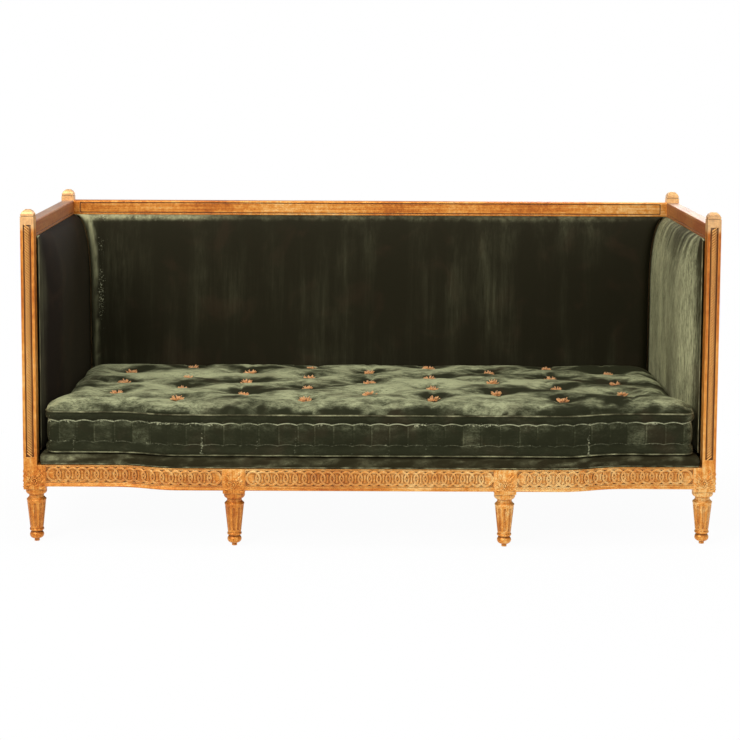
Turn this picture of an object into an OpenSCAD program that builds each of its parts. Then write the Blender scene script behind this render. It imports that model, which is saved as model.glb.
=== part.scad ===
/* [Overall] */
// Width over the outer faces of the corner posts
overall_w = 2000; // [1800:10:2400]
// Depth between the front and rear faces of the corner posts
frame_d = 770; // [700:5:900]
// Height to the tops of the caps
overall_h = 970; // [900:5:1100]
// How far the middle of the seat front stands forward of its corners
bow_d = 40; // [25:1:55]
// Half the length of the straight stretch in the middle of the bow
bow_start = 540; // [480:5:600]
// Distance from the centre to the outer end of each curve of the bow
bow_end = 740; // [700:5:760]
// Drop from the tops of the caps to the underside of the crest and arm rails
top_rail_drop = 79; // [72:1:120]

/* [Dies and posts] */
// Side of the square die blocks
die_s = 63; // [56:1:70]
// Height of the die blocks
die_h = 72; // [64:1:80]
// Side of the square stiles
post_s = 39; // [34:1:45]
// Distance from the centre to the middle of each centre leg
centre_leg_x = 390; // [330:5:440]
// Width of the sunk panel on a front stile
post_panel_w = 23; // [18:1:26]
// Depth of the sunk panel on a front stile
post_panel_depth = 5; // [3:0.5:6]
// Margin between the sunk panel and the stile's ends
post_panel_margin = 23; // [15:1:40]
// Width of the rope moulding
rope_w = 22; // [16:1:24]
// Height that one strand of the rope moulding takes
rope_pitch = 7.7; // [6:0.1:10]
// Height of the cap above its band
cap_h = 12; // [8:1:18]
// Height of the band under the cap
cap_band_h = 6.5; // [4:0.5:10]
// Height of the quirk under the band
cap_quirk_h = 1.5; // [1:0.5:3]

/* [Turned legs] */
// Radius of the peg that stands on the floor
peg_r = 7.5; // [5:0.5:10]
// Height of the peg
peg_h = 8; // [5:1:12]
// Largest radius of the ball foot
ball_r = 20.5; // [16:0.5:23]
// Height of the ball foot
ball_h = 23; // [18:1:28]
// Radius of the ring over the ball foot
ring_r = 21; // [17:0.5:24]
// Height of the ring over the ball foot
ring_h = 9; // [6:0.5:12]
// Radius at the foot of the fluted shaft
shaft_foot_r = 19; // [16:0.5:21]
// Radius at the head of the fluted shaft
shaft_head_r = 27.5; // [24:0.5:30]
// Height of the fluted shaft
shaft_h = 81; // [70:1:95]
// Number of flutes round the shaft
flute_count = 10; // [6:1:12]
// Radius of a flute at its head
flute_r = 4.2; // [3:0.1:5]
// Radius of the collar over the shaft
collar_r = 28.5; // [26:0.5:31]
// Height of the collar
collar_h = 11; // [8:0.5:14]
// Radius of the neck
neck_r = 21.5; // [17:0.5:24]
// Height of the neck
neck_h = 8; // [5:0.5:12]
// Radius of the quarter round under the die
ovolo_r = 9; // [6:0.5:11]
// Height of the quarter round with its fillets
ovolo_h = 18; // [14:1:24]

/* [Seat rails] */
// Height of the seat rails
rail_h = 54; // [46:1:60]
// Thickness of the seat rails
rail_t = 33; // [28:1:38]
// How far the rails stand behind the faces of the dies
rail_set = 2; // [1:0.5:4]
// Height of the plain fillets along the rails
rail_fillet = 5.5; // [4:0.5:8]
// Depth of the carved ground
carve_depth = 2.4; // [1.5:0.1:3.5]
// Width of the interlaced bands
band_w = 4.6; // [3.5:0.1:6]
// Spacing of the interlaced rings
ring_pitch = 26; // [24:0.5:32]
// Height of the cross rails
cross_h = 40; // [34:1:44]
// Thickness of the cross rails
cross_t = 28; // [22:1:34]

/* [Back and arm rails] */
// Height of the crest and arm rails
top_rail_h = 45; // [38:1:52]
// How far the crest and arm rails stand behind the outer faces of the stiles
top_rail_set = 2; // [1:0.5:6]
// Rounding of the rails' upper edges
top_round = 4; // [2:0.5:6]
// Height of the tacking rails
tack_h = 40; // [30:1:50]
// Gap between the seat deck and the tacking rails
tack_gap = 14; // [8:1:30]
// Width of the uprights
upright_w = 42; // [34:1:50]
// Distance from the centre to the back uprights
upright_x = 330; // [260:5:400]

/* [Upholstery] */
// Height of the stuffed seat deck
deck_h = 33.5; // [26:0.5:42]
// Gap between the deck and the stiles
deck_gap = 8; // [4:1:14]
// Thickness of the back pad
back_pad_t = 53; // [40:1:65]
// Thickness of the arm pads over most of their depth
arm_pad_t = 55; // [45:1:62]
// Thickness of the arm pads at the front stiles
arm_pad_front_t = 6; // [5:1:12]
// Length of the rolled front of the arm pads
arm_roll = 150; // [110:5:190]
// Width of a webbing strap
strap_w = 50; // [40:1:56]
// Thickness of a webbing strap
strap_t = 0.9; // [0.7:0.1:1.2]
// Thickness of the outside panels
panel_t = 3; // [2:0.5:4]
// Thickness of the dust cover
dust_t = 1.5; // [1:0.5:3]

/* [Mattress] */
// Thickness of the mattress at its seams
mattress_t = 128; // [100:1:140]
// Rise of the crown over the seams
crown = 32; // [22:1:40]
// Depth of the hollow at each tuft
tuft_depth = 27; // [18:1:32]
// Spacing of the tufts along the seat
tuft_dx = 187; // [175:1:190]
// Spacing of the tuft rows from front to back
tuft_dy = 86; // [78:1:88]
// Radius of a tuft
tuft_r = 6.5; // [5:0.5:8]
// Clearance between the mattress and the arm pads
side_play = 3.5; // [2:0.5:8]
// How far the mattress's sides are drawn in at half height
waist_in = 5; // [3:0.5:9]
// Gap between the mattress and the back pad
back_gap = 18; // [10:1:30]

/* [Hidden] */

// Clearances and the one overrun of every cut
over = 1;
fit = 0.2;
soft_gap = 0.3;

// Tenons of the seat rails, and the shorter ones of the rails above
tenon_l = 22;
tenon_t = 10;
tenon_shoulder = 8;
top_tenon_l = 12;
top_tenon_t = 8;

// Corner blocks and their screws
block_leg = 70;
block_inset = 5;
screw_r = 2;
screw_head_r = 4;
screw_head_h = 3;
screw_in_rail = 15;
screw_seat = 20;
screw_place_share = 0.45;

// Small places on the wood
cap_top_share = 0.42;
cap_hip_share = 0.84;
cap_hip_h_share = 0.5;
quirk_depth = 2.5;
band_in = 1;
cap_in = 2;
rope_angle = 40;
strand_share = 0.98;
strand_sunk = 0.5;
rope_lead = 0.5;
rope_end_gap = 2;
flute_foot_share = 0.72;
flute_sink_share = 0.25;
flute_end = 9;
collar_lip_share = 0.35;
ring_bite = 0.4;
field_end = 3;
line_groove = 1.2;
line_depth = 0.9;
line_up = 2;
panel_groove = 3;
panel_groove_depth = 3;
panel_face_depth = 1.2;
panel_round = 4;
panel_end = 20;
panel_edge = 5;
bead_r = 1.4;
bead_up = 7;

// Upholstery places
panel_set = 6;
pad_edge_t = 2;
strap_end = 15;
strap_margin = 20;
seat_long_strap_count = 5;
seat_cross_strap_count = 14;
back_up_strap_count = 8;
back_long_strap_count = 3;
arm_up_strap_count = 3;
arm_long_strap_count = 2;
deck_set = 1;
dust_set = 10;
pad_top_roll = 250;
pad_top_power = 2.5;
pad_end_roll = 26;
pad_seam_roll = 8;
pad_foot_roll = 16;
arm_roll_power = 1.3;
roll_step_shares = [0, 0.08, 0.28, 0.6];
top_step_shares = [0, 0.02, 0.08, 0.28, 0.6];
pad_middle_share = 0.7;
arm_step_shares = [0, 0.04, 0.12, 0.25, 0.42, 0.62, 0.82];
pad_cell = 150;

// Mattress places
mattress_front_in = 23;
mattress_front_set = 5;
edge_rise = 5;
edge_in = 6;
seam_drop = 6;
foot_rise = 12;
foot_in = 9;
edge_roll = 90;
tuft_tail = 79;
tuft_front = 55;
tuft_sharpness = 4;
waist_share = 0.52;

// Places that follow from the sizes above
half_w = overall_w / 2;
front_y = bow_d / 2 - frame_d / 2;
rear_y = front_y + frame_d;
shaft_z = peg_h + ball_h + ring_h;
collar_z = shaft_z + shaft_h;
neck_z = collar_z + collar_h;
ovolo_z = neck_z + neck_h;
leg_h = ovolo_z + ovolo_h;
seat_z = leg_h + die_h;
rail_z = seat_z - rail_h;
stile_top = overall_h - cap_h - cap_band_h - cap_quirk_h;
deck_z = seat_z + deck_h;
tack_z = deck_z + tack_gap;
rail_in = rail_set + rail_t;
rail_mid = rail_set + rail_t / 2;
rail_mid_z = rail_z + rail_h / 2;
tenon_h = rail_h - 2 * tenon_shoulder;
cross_tenon_h = cross_h - 2 * tenon_shoulder;
bow_half = (bow_end - bow_start) / 2;
bow_mid = bow_start + bow_half;
bow_r = (bow_half * bow_half + bow_d * bow_d / 4) / bow_d;
die_in = half_w - die_s;
open_w = half_w - post_s;
top_rail_z = overall_h - top_rail_drop;
side_long = frame_d - 2 * die_s;
leg_side = centre_leg_x + die_s / 2;
side_y = front_y + post_s;
side_open = frame_d - 2 * post_s;
top_rail_mid_z = top_rail_z + top_rail_h / 2;
top_tenon_h = top_rail_h - 2 * tenon_shoulder;
top_rail_t = post_s - top_rail_set;
top_rail_mid = post_s - top_rail_t / 2;
pad_back = post_s - pad_edge_t;
member_out = panel_set + panel_t;
member_in = pad_back - 2 * strap_t - soft_gap;
tack_t = member_in - member_out;
member_mid = member_out + tack_t / 2;
tack_mid_z = tack_z + tack_h / 2;
tack_tenon_h = tack_h - 2 * tenon_shoulder;
pad_z = deck_z + soft_gap;
pad_h = top_rail_z - pad_z - soft_gap;
arm_pad_y = side_y + soft_gap;
arm_pad_l = side_open - 2 * soft_gap;
back_pad_half = open_w - soft_gap;
mattress_z = deck_z + soft_gap;
seam_z = mattress_z + mattress_t;
mattress_back = rear_y - post_s - back_pad_t - back_gap;
mattress_half = open_w - arm_pad_t - side_play;
mattress_front = front_y + mattress_front_set;
tuft_rows = floor((mattress_back - mattress_front - tuft_front - tuft_tail) / tuft_dy);
tuft_cols = floor((mattress_half - edge_roll) / tuft_dx);
first_row = mattress_back - tuft_tail - tuft_rows * tuft_dy;

// The front line at x, measured back from the plane of the corner posts
function bow_back(x) = let (a = abs(x))
    a <= bow_start ? -bow_d :
    a <= bow_mid ? bow_r - bow_d - sqrt(bow_r * bow_r - pow(a - bow_start, 2)) :
    a <= bow_end ? sqrt(bow_r * bow_r - pow(bow_end - a, 2)) - bow_r : 0;

// Rise of a rolled edge, from 0 at the edge to 1 at the roll's own length; a power of 2 is round
function roll_to(d, length, power) =
    d >= length ? 1 : d <= 0 ? 0 : pow(1 - pow(1 - d / length, power), 1 / power);
function roll(d, length) = roll_to(d, length, 2);

// Thickness of an arm pad at y
function arm_t(y) = arm_pad_front_t
    + (arm_pad_t - arm_pad_front_t) * roll_to(y - arm_pad_y, arm_roll, arm_roll_power);

// Ground behind the serpentine front line, moved back by set
module behind_front(set, back, reach) {
    translate([0, set]) for (side = [0, 1]) mirror([side, 0]) difference() {
        translate([-over, -bow_d]) square([reach + over, back + bow_d - set]);
        difference() {
            translate([bow_start, -bow_d - over]) square([bow_half, bow_d / 2 + over]);
            translate([bow_start, bow_r - bow_d]) circle(r = bow_r, $fn = 180);
        }
        intersection() {
            translate([bow_mid, -bow_d - over]) square([bow_half, bow_d + 2 * over]);
            translate([bow_end, -bow_r]) circle(r = bow_r, $fn = 180);
        }
        translate([bow_end, -bow_d - over]) square([reach + over, bow_d + over]);
    }
}

// Strip of plan that follows the front line between two depths and two places along it
module front_strip(near, far, x0, x1) {
    translate([0, front_y]) intersection() {
        difference() {
            behind_front(near, frame_d / 2, half_w);
            behind_front(far, frame_d / 2, half_w);
        }
        translate([x0, -bow_d - over]) square([x1 - x0, 2 * bow_d + far + 2 * over]);
    }
}

// Rectangle with round corners, drawn from its middle
module round_panel(w, h, r) {
    square([w - 2 * r, h], center = true);
    square([w, h - 2 * r], center = true);
    for (x = [-1, 1], y = [-1, 1])
        translate([x * (w / 2 - r), y * (h / 2 - r)]) circle(r = r, $fn = 32);
}

// Tongue that leaves the point at along an angle in plan; play makes it a mortise
module tongue(at, turn, long, thick, high, play) {
    translate(at) rotate([0, 0, turn])
        translate([-over, -thick / 2 - play, -high / 2 - play])
            cube([over + long + play, thick + 2 * play, high + 2 * play]);
}

// Places a corner's piece, drawn from the outer corner inwards along x and y
module at_corner(right, rear) {
    translate([right ? half_w : -half_w, rear ? rear_y : front_y, 0])
        mirror([right ? 1 : 0, 0, 0]) mirror([0, rear ? 1 : 0, 0]) children();
}

// Half section of a turned leg, from the floor to the underside of its die
module leg_section() {
    square([peg_r, peg_h + over]);
    translate([0, peg_h]) square([ball_r - ball_h / 2, ball_h + over]);
    translate([ball_r - ball_h / 2, peg_h + ball_h / 2])
        intersection() {
            circle(r = ball_h / 2, $fn = 40);
            translate([0, -ball_h]) square([ball_h, 2 * ball_h]);
        }
    translate([0, peg_h + ball_h - over]) square([ring_r - ring_h / 2, ring_h + 2 * over]);
    translate([ring_r - ring_h / 2, peg_h + ball_h + ring_h / 2])
        intersection() {
            circle(r = ring_h / 2, $fn = 40);
            translate([0, -ring_h]) square([ring_h, 2 * ring_h]);
        }
    polygon([[0, shaft_z - over], [shaft_foot_r, shaft_z], [shaft_head_r, collar_z],
        [0, collar_z]]);
    // Collar with a sloped shoulder that runs up to the neck
    polygon([[0, collar_z - over], [shaft_head_r, collar_z],
        [collar_r, collar_z + collar_h * collar_lip_share / 2],
        [collar_r, collar_z + collar_h * collar_lip_share], [neck_r, neck_z], [0, neck_z]]);
    // Neck, with a core that runs up into the die
    translate([0, neck_z - over]) square([neck_r, leg_h - neck_z + 2 * over]);
    // Fillet, quarter round and upper fillet under the die
    difference() {
        translate([0, ovolo_z]) square([neck_r + ovolo_r, ovolo_h]);
        translate([neck_r, ovolo_z - over]) square([ovolo_r + over, ovolo_h - ovolo_r]);
    }
    intersection() {
        translate([neck_r, leg_h - ovolo_r]) circle(r = ovolo_r, $fn = 40);
        translate([neck_r - over, ovolo_z]) square([ovolo_r + over, ovolo_h]);
    }
}

// Flutes that follow the taper of the shaft, with round ends
module flutes() {
    rise = shaft_h - 2 * flute_end;
    foot = shaft_foot_r + (shaft_head_r - shaft_foot_r) * flute_end / shaft_h;
    head = shaft_head_r - (shaft_head_r - shaft_foot_r) * flute_end / shaft_h;
    foot_r = flute_r * flute_foot_share;
    lean = atan((head - foot + (flute_r - foot_r) * flute_sink_share) / rise);
    for (i = [0 : flute_count - 1]) rotate([0, 0, (i + 0.5) * 360 / flute_count])
        translate([foot + foot_r * flute_sink_share, 0, shaft_z + flute_end])
            rotate([0, lean, 0]) {
                cylinder(h = rise, r1 = foot_r, r2 = flute_r, $fn = 24);
                sphere(r = foot_r, $fn = 24);
                translate([0, 0, rise]) sphere(r = flute_r, $fn = 24);
            }
}

module turned_leg() {
    difference() {
        rotate_extrude($fn = 64) leg_section();
        flutes();
    }
}

// Hipped cap with its band and quirk, drawn from the stile's outer corner
module stile_cap() {
    translate([quirk_depth, quirk_depth, stile_top - over])
        cube([post_s - 2 * quirk_depth, post_s - 2 * quirk_depth, cap_quirk_h + 2 * over]);
    translate([band_in, band_in, stile_top + cap_quirk_h])
        cube([post_s - 2 * band_in, post_s - 2 * band_in, cap_band_h]);
    translate([post_s / 2, post_s / 2, overall_h - cap_h]) intersection() {
        cap_ridge();
        rotate([0, 0, 90]) cap_ridge();
    }
}

module cap_ridge() {
    half = post_s / 2 - cap_in;
    rotate([90, 0, 0]) linear_extrude(height = post_s, center = true)
        polygon([[-half, -over], [half, -over], [half, 0],
            [half * cap_hip_share, cap_h * cap_hip_h_share], [half * cap_top_share, cap_h],
            [-half * cap_top_share, cap_h], [-half * cap_hip_share, cap_h * cap_hip_h_share],
            [-half, 0]]);
}

// Rope moulding: slanted strands, rounded off as one rod, that fill the sunk panel of a
// front stile
module rope_moulding() {
    long = stile_top - seat_z - 2 * (post_panel_margin + rope_end_gap);
    count = floor(long / rope_pitch);
    strand_r = strand_share * rope_pitch * cos(rope_angle) / 2;
    strand_y = post_panel_depth + strand_sunk - strand_r;
    translate([post_s / 2, 0, (seat_z + stile_top) / 2]) intersection() {
        translate([0, strand_y - strand_r - rope_lead + rope_w / 2, 0])
            cylinder(h = long, r = rope_w / 2, center = true, $fn = 64);
        for (i = [0 : count - 1])
            translate([0, strand_y, (i - (count - 1) / 2) * rope_pitch])
                rotate([0, rope_angle - 90, 0])
                    cylinder(h = 2 * rope_w, r = strand_r, center = true, $fn = 24);
    }
}

// Corner post in one length: turned leg, die, stile and cap, with its mortises
module corner_post(rear) {
    difference() {
        union() {
            translate([die_s / 2, die_s / 2, 0]) turned_leg();
            translate([0, 0, leg_h]) cube([die_s, die_s, die_h]);
            translate([0, 0, seat_z - over]) cube([post_s, post_s, stile_top - seat_z + over]);
            stile_cap();
        }
        if (!rear)
            translate([(post_s - post_panel_w) / 2, -over, seat_z + post_panel_margin])
                cube([post_panel_w, post_panel_depth + over,
                    stile_top - seat_z - 2 * post_panel_margin]);
        corner_tongues(rear, fit);
    }
    if (!rear) rope_moulding();
}

// Every tongue that enters a corner post; the crest and back tacking rail only at the rear
module corner_tongues(rear, play) {
    tongue([die_s, rail_mid, rail_mid_z], 180, tenon_l, tenon_t, tenon_h, play);
    tongue([rail_mid, die_s, rail_mid_z], 270, tenon_l, tenon_t, tenon_h, play);
    arm_tongue([top_rail_mid, post_s, top_rail_mid_z], 270, top_tenon_h, play);
    arm_tongue([member_mid, post_s, tack_mid_z], 270, tack_tenon_h, play);
    if (rear) {
        arm_tongue([post_s, top_rail_mid, top_rail_mid_z], 180, top_tenon_h, play);
        arm_tongue([post_s, member_mid, tack_mid_z], 180, tack_tenon_h, play);
    }
}

module arm_tongue(at, turn, high, play) {
    tongue(at, turn, top_tenon_l, top_tenon_t, high, play);
}

// Rings that pass through each other along a field
module guilloche(long, high) {
    ring = high / 2 + ring_bite;
    run = long - high;
    count = floor(run / ring_pitch);
    pitch = run / count;
    for (i = [0 : count]) translate([i * pitch - run / 2, 0]) difference() {
        circle(r = ring, $fn = 48);
        circle(r = ring - band_w, $fn = 48);
    }
}

// The ground that the carver sinks between the rings
module carved_ground(long) {
    field = long - 2 * field_end;
    high = rail_h - 2 * rail_fillet;
    difference() {
        square([field, high], center = true);
        guilloche(field, high);
    }
}

// Places a copy at the foot of the lower and of the upper line groove
module line_places() {
    for (z = [rail_z + line_up, rail_z + rail_h - line_up - line_groove])
        translate([0, 0, z]) children();
}

// Screw through a corner block, or its hole when play is given; drawn in a corner's frame
module block_screw(play) {
    place = die_s + block_leg * screw_place_share;
    for (swap = [0, 1]) mirror([swap, -swap, 0])
        translate([place, rail_in + screw_seat, rail_mid_z]) rotate([90, 0, 0]) {
            cylinder(h = screw_seat + screw_in_rail + play, r = screw_r + play, $fn = 24);
            translate([0, 0, play > 0 ? -block_leg : -screw_head_h])
                cylinder(h = play > 0 ? block_leg : screw_head_h, r = screw_head_r + play,
                    $fn = 24);
        }
}

// One length of the front rail, between two places along the front
module front_rail(x0, x1) {
    difference() {
        translate([0, 0, rail_z]) linear_extrude(height = rail_h)
            front_strip(rail_set, rail_in, x0, x1);
        intersection() {
            translate([0, 0, rail_z]) linear_extrude(height = rail_h)
                front_strip(rail_set - over, rail_set + carve_depth, x0, x1);
            translate([(x0 + x1) / 2, front_y + rail_in, rail_mid_z]) rotate([90, 0, 0])
                linear_extrude(height = bow_d + 2 * rail_in) carved_ground(x1 - x0);
        }
        line_places() linear_extrude(height = line_groove)
            front_strip(rail_set - over, rail_set + line_depth, x0 - over, x1 + over);
        for (right = [false, true]) at_corner(right, false) block_screw(fit);
    }
    for (end = [[x0, 180], [x1, 0]])
        tongue([end[0], front_y + bow_back(end[0]) + rail_mid, rail_mid_z], end[1],
            tenon_l, tenon_t, tenon_h, 0);
}

// Carved rail under the right arm
module side_rail() {
    face = half_w - rail_set;
    difference() {
        translate([face - rail_t, front_y + die_s, rail_z]) cube([rail_t, side_long, rail_h]);
        translate([face - carve_depth, front_y + frame_d / 2, rail_mid_z]) rotate([90, 0, 90])
            linear_extrude(height = carve_depth + over) carved_ground(side_long);
        line_places() translate([face - line_depth, front_y + die_s - over, 0])
            cube([line_depth + over, side_long + 2 * over, line_groove]);
        for (rear = [false, true]) at_corner(true, rear) block_screw(fit);
    }
    for (end = [[front_y + die_s, 270], [rear_y - die_s, 90]])
        tongue([face - rail_t / 2, end[0], rail_mid_z], end[1], tenon_l, tenon_t, tenon_h, 0);
}

// One plain length of the rear rail
module rear_rail(x0, x1) {
    difference() {
        translate([x0, rear_y - rail_in, rail_z]) cube([x1 - x0, rail_t, rail_h]);
        for (right = [false, true]) at_corner(right, true) block_screw(fit);
    }
    for (end = [[x0, 180], [x1, 0]])
        tongue([end[0], rear_y - rail_mid, rail_mid_z], end[1], tenon_l, tenon_t, tenon_h, 0);
}

// Centre leg with its die, drawn from the die's outer face, inwards along y
module centre_leg() {
    difference() {
        union() {
            translate([0, die_s / 2, 0]) turned_leg();
            translate([-die_s / 2, 0, leg_h]) cube([die_s, die_s, die_h]);
        }
        tongue([die_s / 2, rail_mid, rail_mid_z], 180, tenon_l, tenon_t, tenon_h, fit);
        tongue([-die_s / 2, rail_mid, rail_mid_z], 0, tenon_l, tenon_t, tenon_h, fit);
        tongue([0, die_s, rail_mid_z], 270, tenon_l, tenon_t, cross_tenon_h, fit);
    }
}

// Rail between a front and a rear centre leg
module cross_rail() {
    near = front_y - bow_d + die_s;
    far = rear_y - die_s;
    translate([centre_leg_x - cross_t / 2, near, rail_mid_z - cross_h / 2])
        cube([cross_t, far - near, cross_h]);
    for (end = [[near, 270], [far, 90]])
        tongue([centre_leg_x, end[0], rail_mid_z], end[1], tenon_l, tenon_t, cross_tenon_h, 0);
}

// Section of the crest and arm rails, with both upper corners round
module top_rail_section() {
    square([top_rail_t, top_rail_h - top_round]);
    translate([top_round, 0]) square([top_rail_t - 2 * top_round, top_rail_h]);
    for (x = [top_round, top_rail_t - top_round])
        translate([x, top_rail_h - top_round]) circle(r = top_round, $fn = 32);
}

// Sunk panel with a groove round it, cut into a face that looks along y
module sunk_panel(long) {
    w = long - 2 * panel_end;
    h = top_rail_h - 2 * panel_edge;
    translate([long / 2, over, top_rail_h / 2]) rotate([90, 0, 0]) {
        linear_extrude(height = panel_groove_depth + over) difference() {
            round_panel(w, h, panel_round);
            round_panel(w - 2 * panel_groove, h - 2 * panel_groove, panel_round);
        }
        linear_extrude(height = panel_face_depth + over) round_panel(w, h, panel_round);
    }
}

// Crest or arm rail: along x, its outer face at y = 0 and its inner face beyond it
module top_rail(long, arm) {
    difference() {
        rotate([90, 0, 90]) linear_extrude(height = long) top_rail_section();
        if (arm) {
            mirror([0, 1, 0]) sunk_panel(long);
            translate([-over, top_rail_t, bead_up]) rotate([0, 90, 0])
                cylinder(h = long + 2 * over, r = bead_r, $fn = 24);
        } else
            translate([0, top_rail_t, 0]) sunk_panel(long);
    }
    for (end = [[0, 180], [long, 0]])
        arm_tongue([end[0], top_rail_t / 2, top_rail_h / 2], end[1], top_tenon_h, 0);
}

// Tacking rail in the same frame as a crest or arm rail
module tacking_rail(long) {
    cube([long, tack_t, tack_h]);
    for (end = [[0, 180], [long, 0]])
        arm_tongue([end[0], tack_t / 2, tack_h / 2], end[1], tack_tenon_h, 0);
}

// Places a rail of the back: its outer face lies deep inside the plane of the rear faces
module in_back(deep, z) {
    translate([-open_w, rear_y - deep, z]) mirror([0, 1, 0]) children();
}

// Places a rail of the right arm in the same way
module in_arm(deep, z) {
    translate([half_w - deep, side_y, z]) rotate([0, 0, 90]) children();
}

// Five-sided glue block in a corner of the seat frame
module corner_block() {
    difference() {
        translate([0, 0, rail_z + block_inset]) linear_extrude(height = rail_h - 2 * block_inset)
            polygon([[die_s + block_leg, rail_in], [die_s, rail_in], [die_s, die_s],
                [rail_in, die_s], [rail_in, die_s + block_leg]]);
        block_screw(fit);
    }
}

// Straps of one layer along x, spaced evenly over a width along y
module straps(count, long, width, z) {
    step = (width - strap_w) / (count - 1);
    for (i = [0 : count - 1]) translate([0, i * step, z]) cube([long, strap_w, strap_t]);
}

// Two layers of straps in a panel frame: along x, across y, thickness along z
module panel_webbing(long, high, up, across) {
    translate([strap_margin + strap_w, 0, 0]) rotate([0, 0, 90])
        translate([0, -(long - 2 * strap_margin - strap_w), 0])
            straps(up, high, long - 2 * strap_margin, 0);
    translate([fit, tack_h + strap_margin, 0])
        straps(across, long - 2 * fit, high - tack_h - 2 * strap_margin, strap_t);
}

// Steps from a to b, none wider than about one cell
function spread(a, b, cell) = let (n = max(1, round((b - a) / cell)))
    [for (i = [0 : n]) a + (b - a) * i / n];

// Steps of a rolled edge at the start or, reversed, at the end of a length
function edge_in_steps(length) = [for (s = roll_step_shares) s * length];
function edge_out_steps(whole, length, shares = roll_step_shares) =
    [for (i = [len(shares) - 1 : -1 : 0]) whole - shares[i] * length];

// Indices round the rim of a grid of nx by ny cells, anticlockwise from its first corner
function rim(nx, ny) = concat(
    [for (i = [0 : nx - 1]) i],
    [for (j = [0 : ny - 1]) nx + j * (nx + 1)],
    [for (i = [nx : -1 : 1]) ny * (nx + 1) + i],
    [for (j = [ny : -1 : 1]) j * (nx + 1)]);

// Closed soft form: a grid of points on top, loops of rim points under it, and the
// middle of its flat underside
module soft_form(grid, nx, ny, loops, middle) {
    edge = rim(nx, ny);
    n = len(edge);
    base = len(grid);
    walls = concat([edge], [for (k = [0 : len(loops) - 1]) [for (i = [0 : n - 1])
        base + k * n + i]]);
    polyhedron(
        points = concat(grid, [for (l = loops) for (p = l) p], [middle]),
        faces = concat(
            [for (j = [0 : ny - 1], i = [0 : nx - 1], half = [0, 1])
                let (a = j * (nx + 1) + i)
                half == 0 ? [a, a + nx + 2, a + 1] : [a, a + nx + 1, a + nx + 2]],
            [for (k = [0 : len(loops) - 1], i = [0 : n - 1], half = [0, 1])
                let (j = (i + 1) % n, u = walls[k], l = walls[k + 1])
                half == 0 ? [u[i], u[j], l[j]] : [u[i], l[j], l[i]]],
            [for (i = [0 : n - 1]) let (l = walls[len(loops)])
                [l[i], l[(i + 1) % n], base + len(loops) * n]]),
        convexity = 4);
}

// Pad in its panel's frame, from a grid of points on its face; its underside lies at z = 0
module pad_form(grid, nx, ny) {
    soft_form(grid, nx, ny, [[for (k = rim(nx, ny)) [grid[k][0], grid[k][1], 0]]],
        [(grid[0][0] + grid[nx][0]) / 2, pad_h * pad_middle_share, 0]);
}

// Fullness of a pad under its top edge, and between its foot and its top
function pad_top_rise(v) = roll_to(pad_h - v, pad_top_roll, pad_top_power);
function pad_rise(v) = roll(v, pad_foot_roll) * pad_top_rise(v);

function pad_vs() = concat(edge_in_steps(pad_foot_roll),
    spread(pad_foot_roll, pad_h - pad_top_roll, pad_cell),
    edge_out_steps(pad_h, pad_top_roll, top_step_shares));

// Half width of the back pad at a height, between the faces of the arm pads
function back_half(v) = open_w - arm_pad_t * pad_top_rise(v) - soft_gap;

module back_pad_form() {
    long = 2 * back_pad_half;
    us = concat(edge_in_steps(pad_end_roll), spread(pad_end_roll, long - pad_end_roll, pad_cell),
        edge_out_steps(long, pad_end_roll));
    vs = pad_vs();
    pad_form([for (v = vs, u = us) [back_pad_half
            + (u - back_pad_half) * back_half(v) / back_pad_half, v,
        pad_edge_t + back_pad_t * pad_rise(v) * roll(u, pad_end_roll)
            * roll(long - u, pad_end_roll)]], len(us) - 1, len(vs) - 1);
}

module arm_pad_form() {
    us = concat([for (s = arm_step_shares) s * arm_roll],
        spread(arm_roll, arm_pad_l - pad_seam_roll, pad_cell),
        edge_out_steps(arm_pad_l, pad_seam_roll));
    vs = pad_vs();
    pad_form([for (v = vs, u = us) [u, v, pad_edge_t + arm_t(arm_pad_y + u) * pad_rise(v)
        * roll(arm_pad_l - u, pad_seam_roll)]], len(us) - 1, len(vs) - 1);
}

// The mattress in plan: its half width at y and its front edge at x
function mattress_w(y) =
    min(open_w - mattress_front_in, open_w - arm_t(y) - side_play);
function mattress_edge(x) = mattress_front + bow_back(x);

// The mattress's columns and rows; the first two rows bend with the front
mattress_cols = ceil(mattress_half / (tuft_dx / 4)) - 1;
mattress_xs = concat([-mattress_half],
    [for (i = [-mattress_cols : mattress_cols]) i * tuft_dx / 4], [mattress_half]);
mattress_rows = floor((tuft_rows * tuft_dy + tuft_tail) / (tuft_dy / 2));
mattress_nx = len(mattress_xs) - 1;
mattress_ny = mattress_rows + 3;
last_col = tuft_cols * tuft_dx;

function mattress_y(i, j, inset) = let (front = mattress_edge(mattress_xs[i]) + inset)
    j == 0 ? front : j == 1 ? (front + first_row) / 2 :
    j == mattress_ny ? mattress_back - inset : first_row + (j - 2) * tuft_dy / 2;

function mattress_x(i, y, inset) = let (x = mattress_xs[i], a = abs(x))
    a <= last_col ? x :
    sign(x) * (last_col + (a - last_col) / (mattress_half - last_col)
        * (mattress_w(y) - inset - last_col));

// How deep in a tuft's hollow a place lies, from 0 on a pillow's top to 1 at a tuft
function hollow(x, y) = pow((1 - cos(180 * x / tuft_dx) * cos(180 * (y - first_row) / tuft_dy))
    / 2, tuft_sharpness);

function mattress_top(x, y) =
    let (side = roll(mattress_w(y) - abs(x), edge_roll),
        ends = roll(y - mattress_edge(x), edge_roll) * roll(mattress_back - y, edge_roll))
    seam_z + edge_rise + side * ends * (crown - edge_rise - tuft_depth * hollow(x, y));

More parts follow.
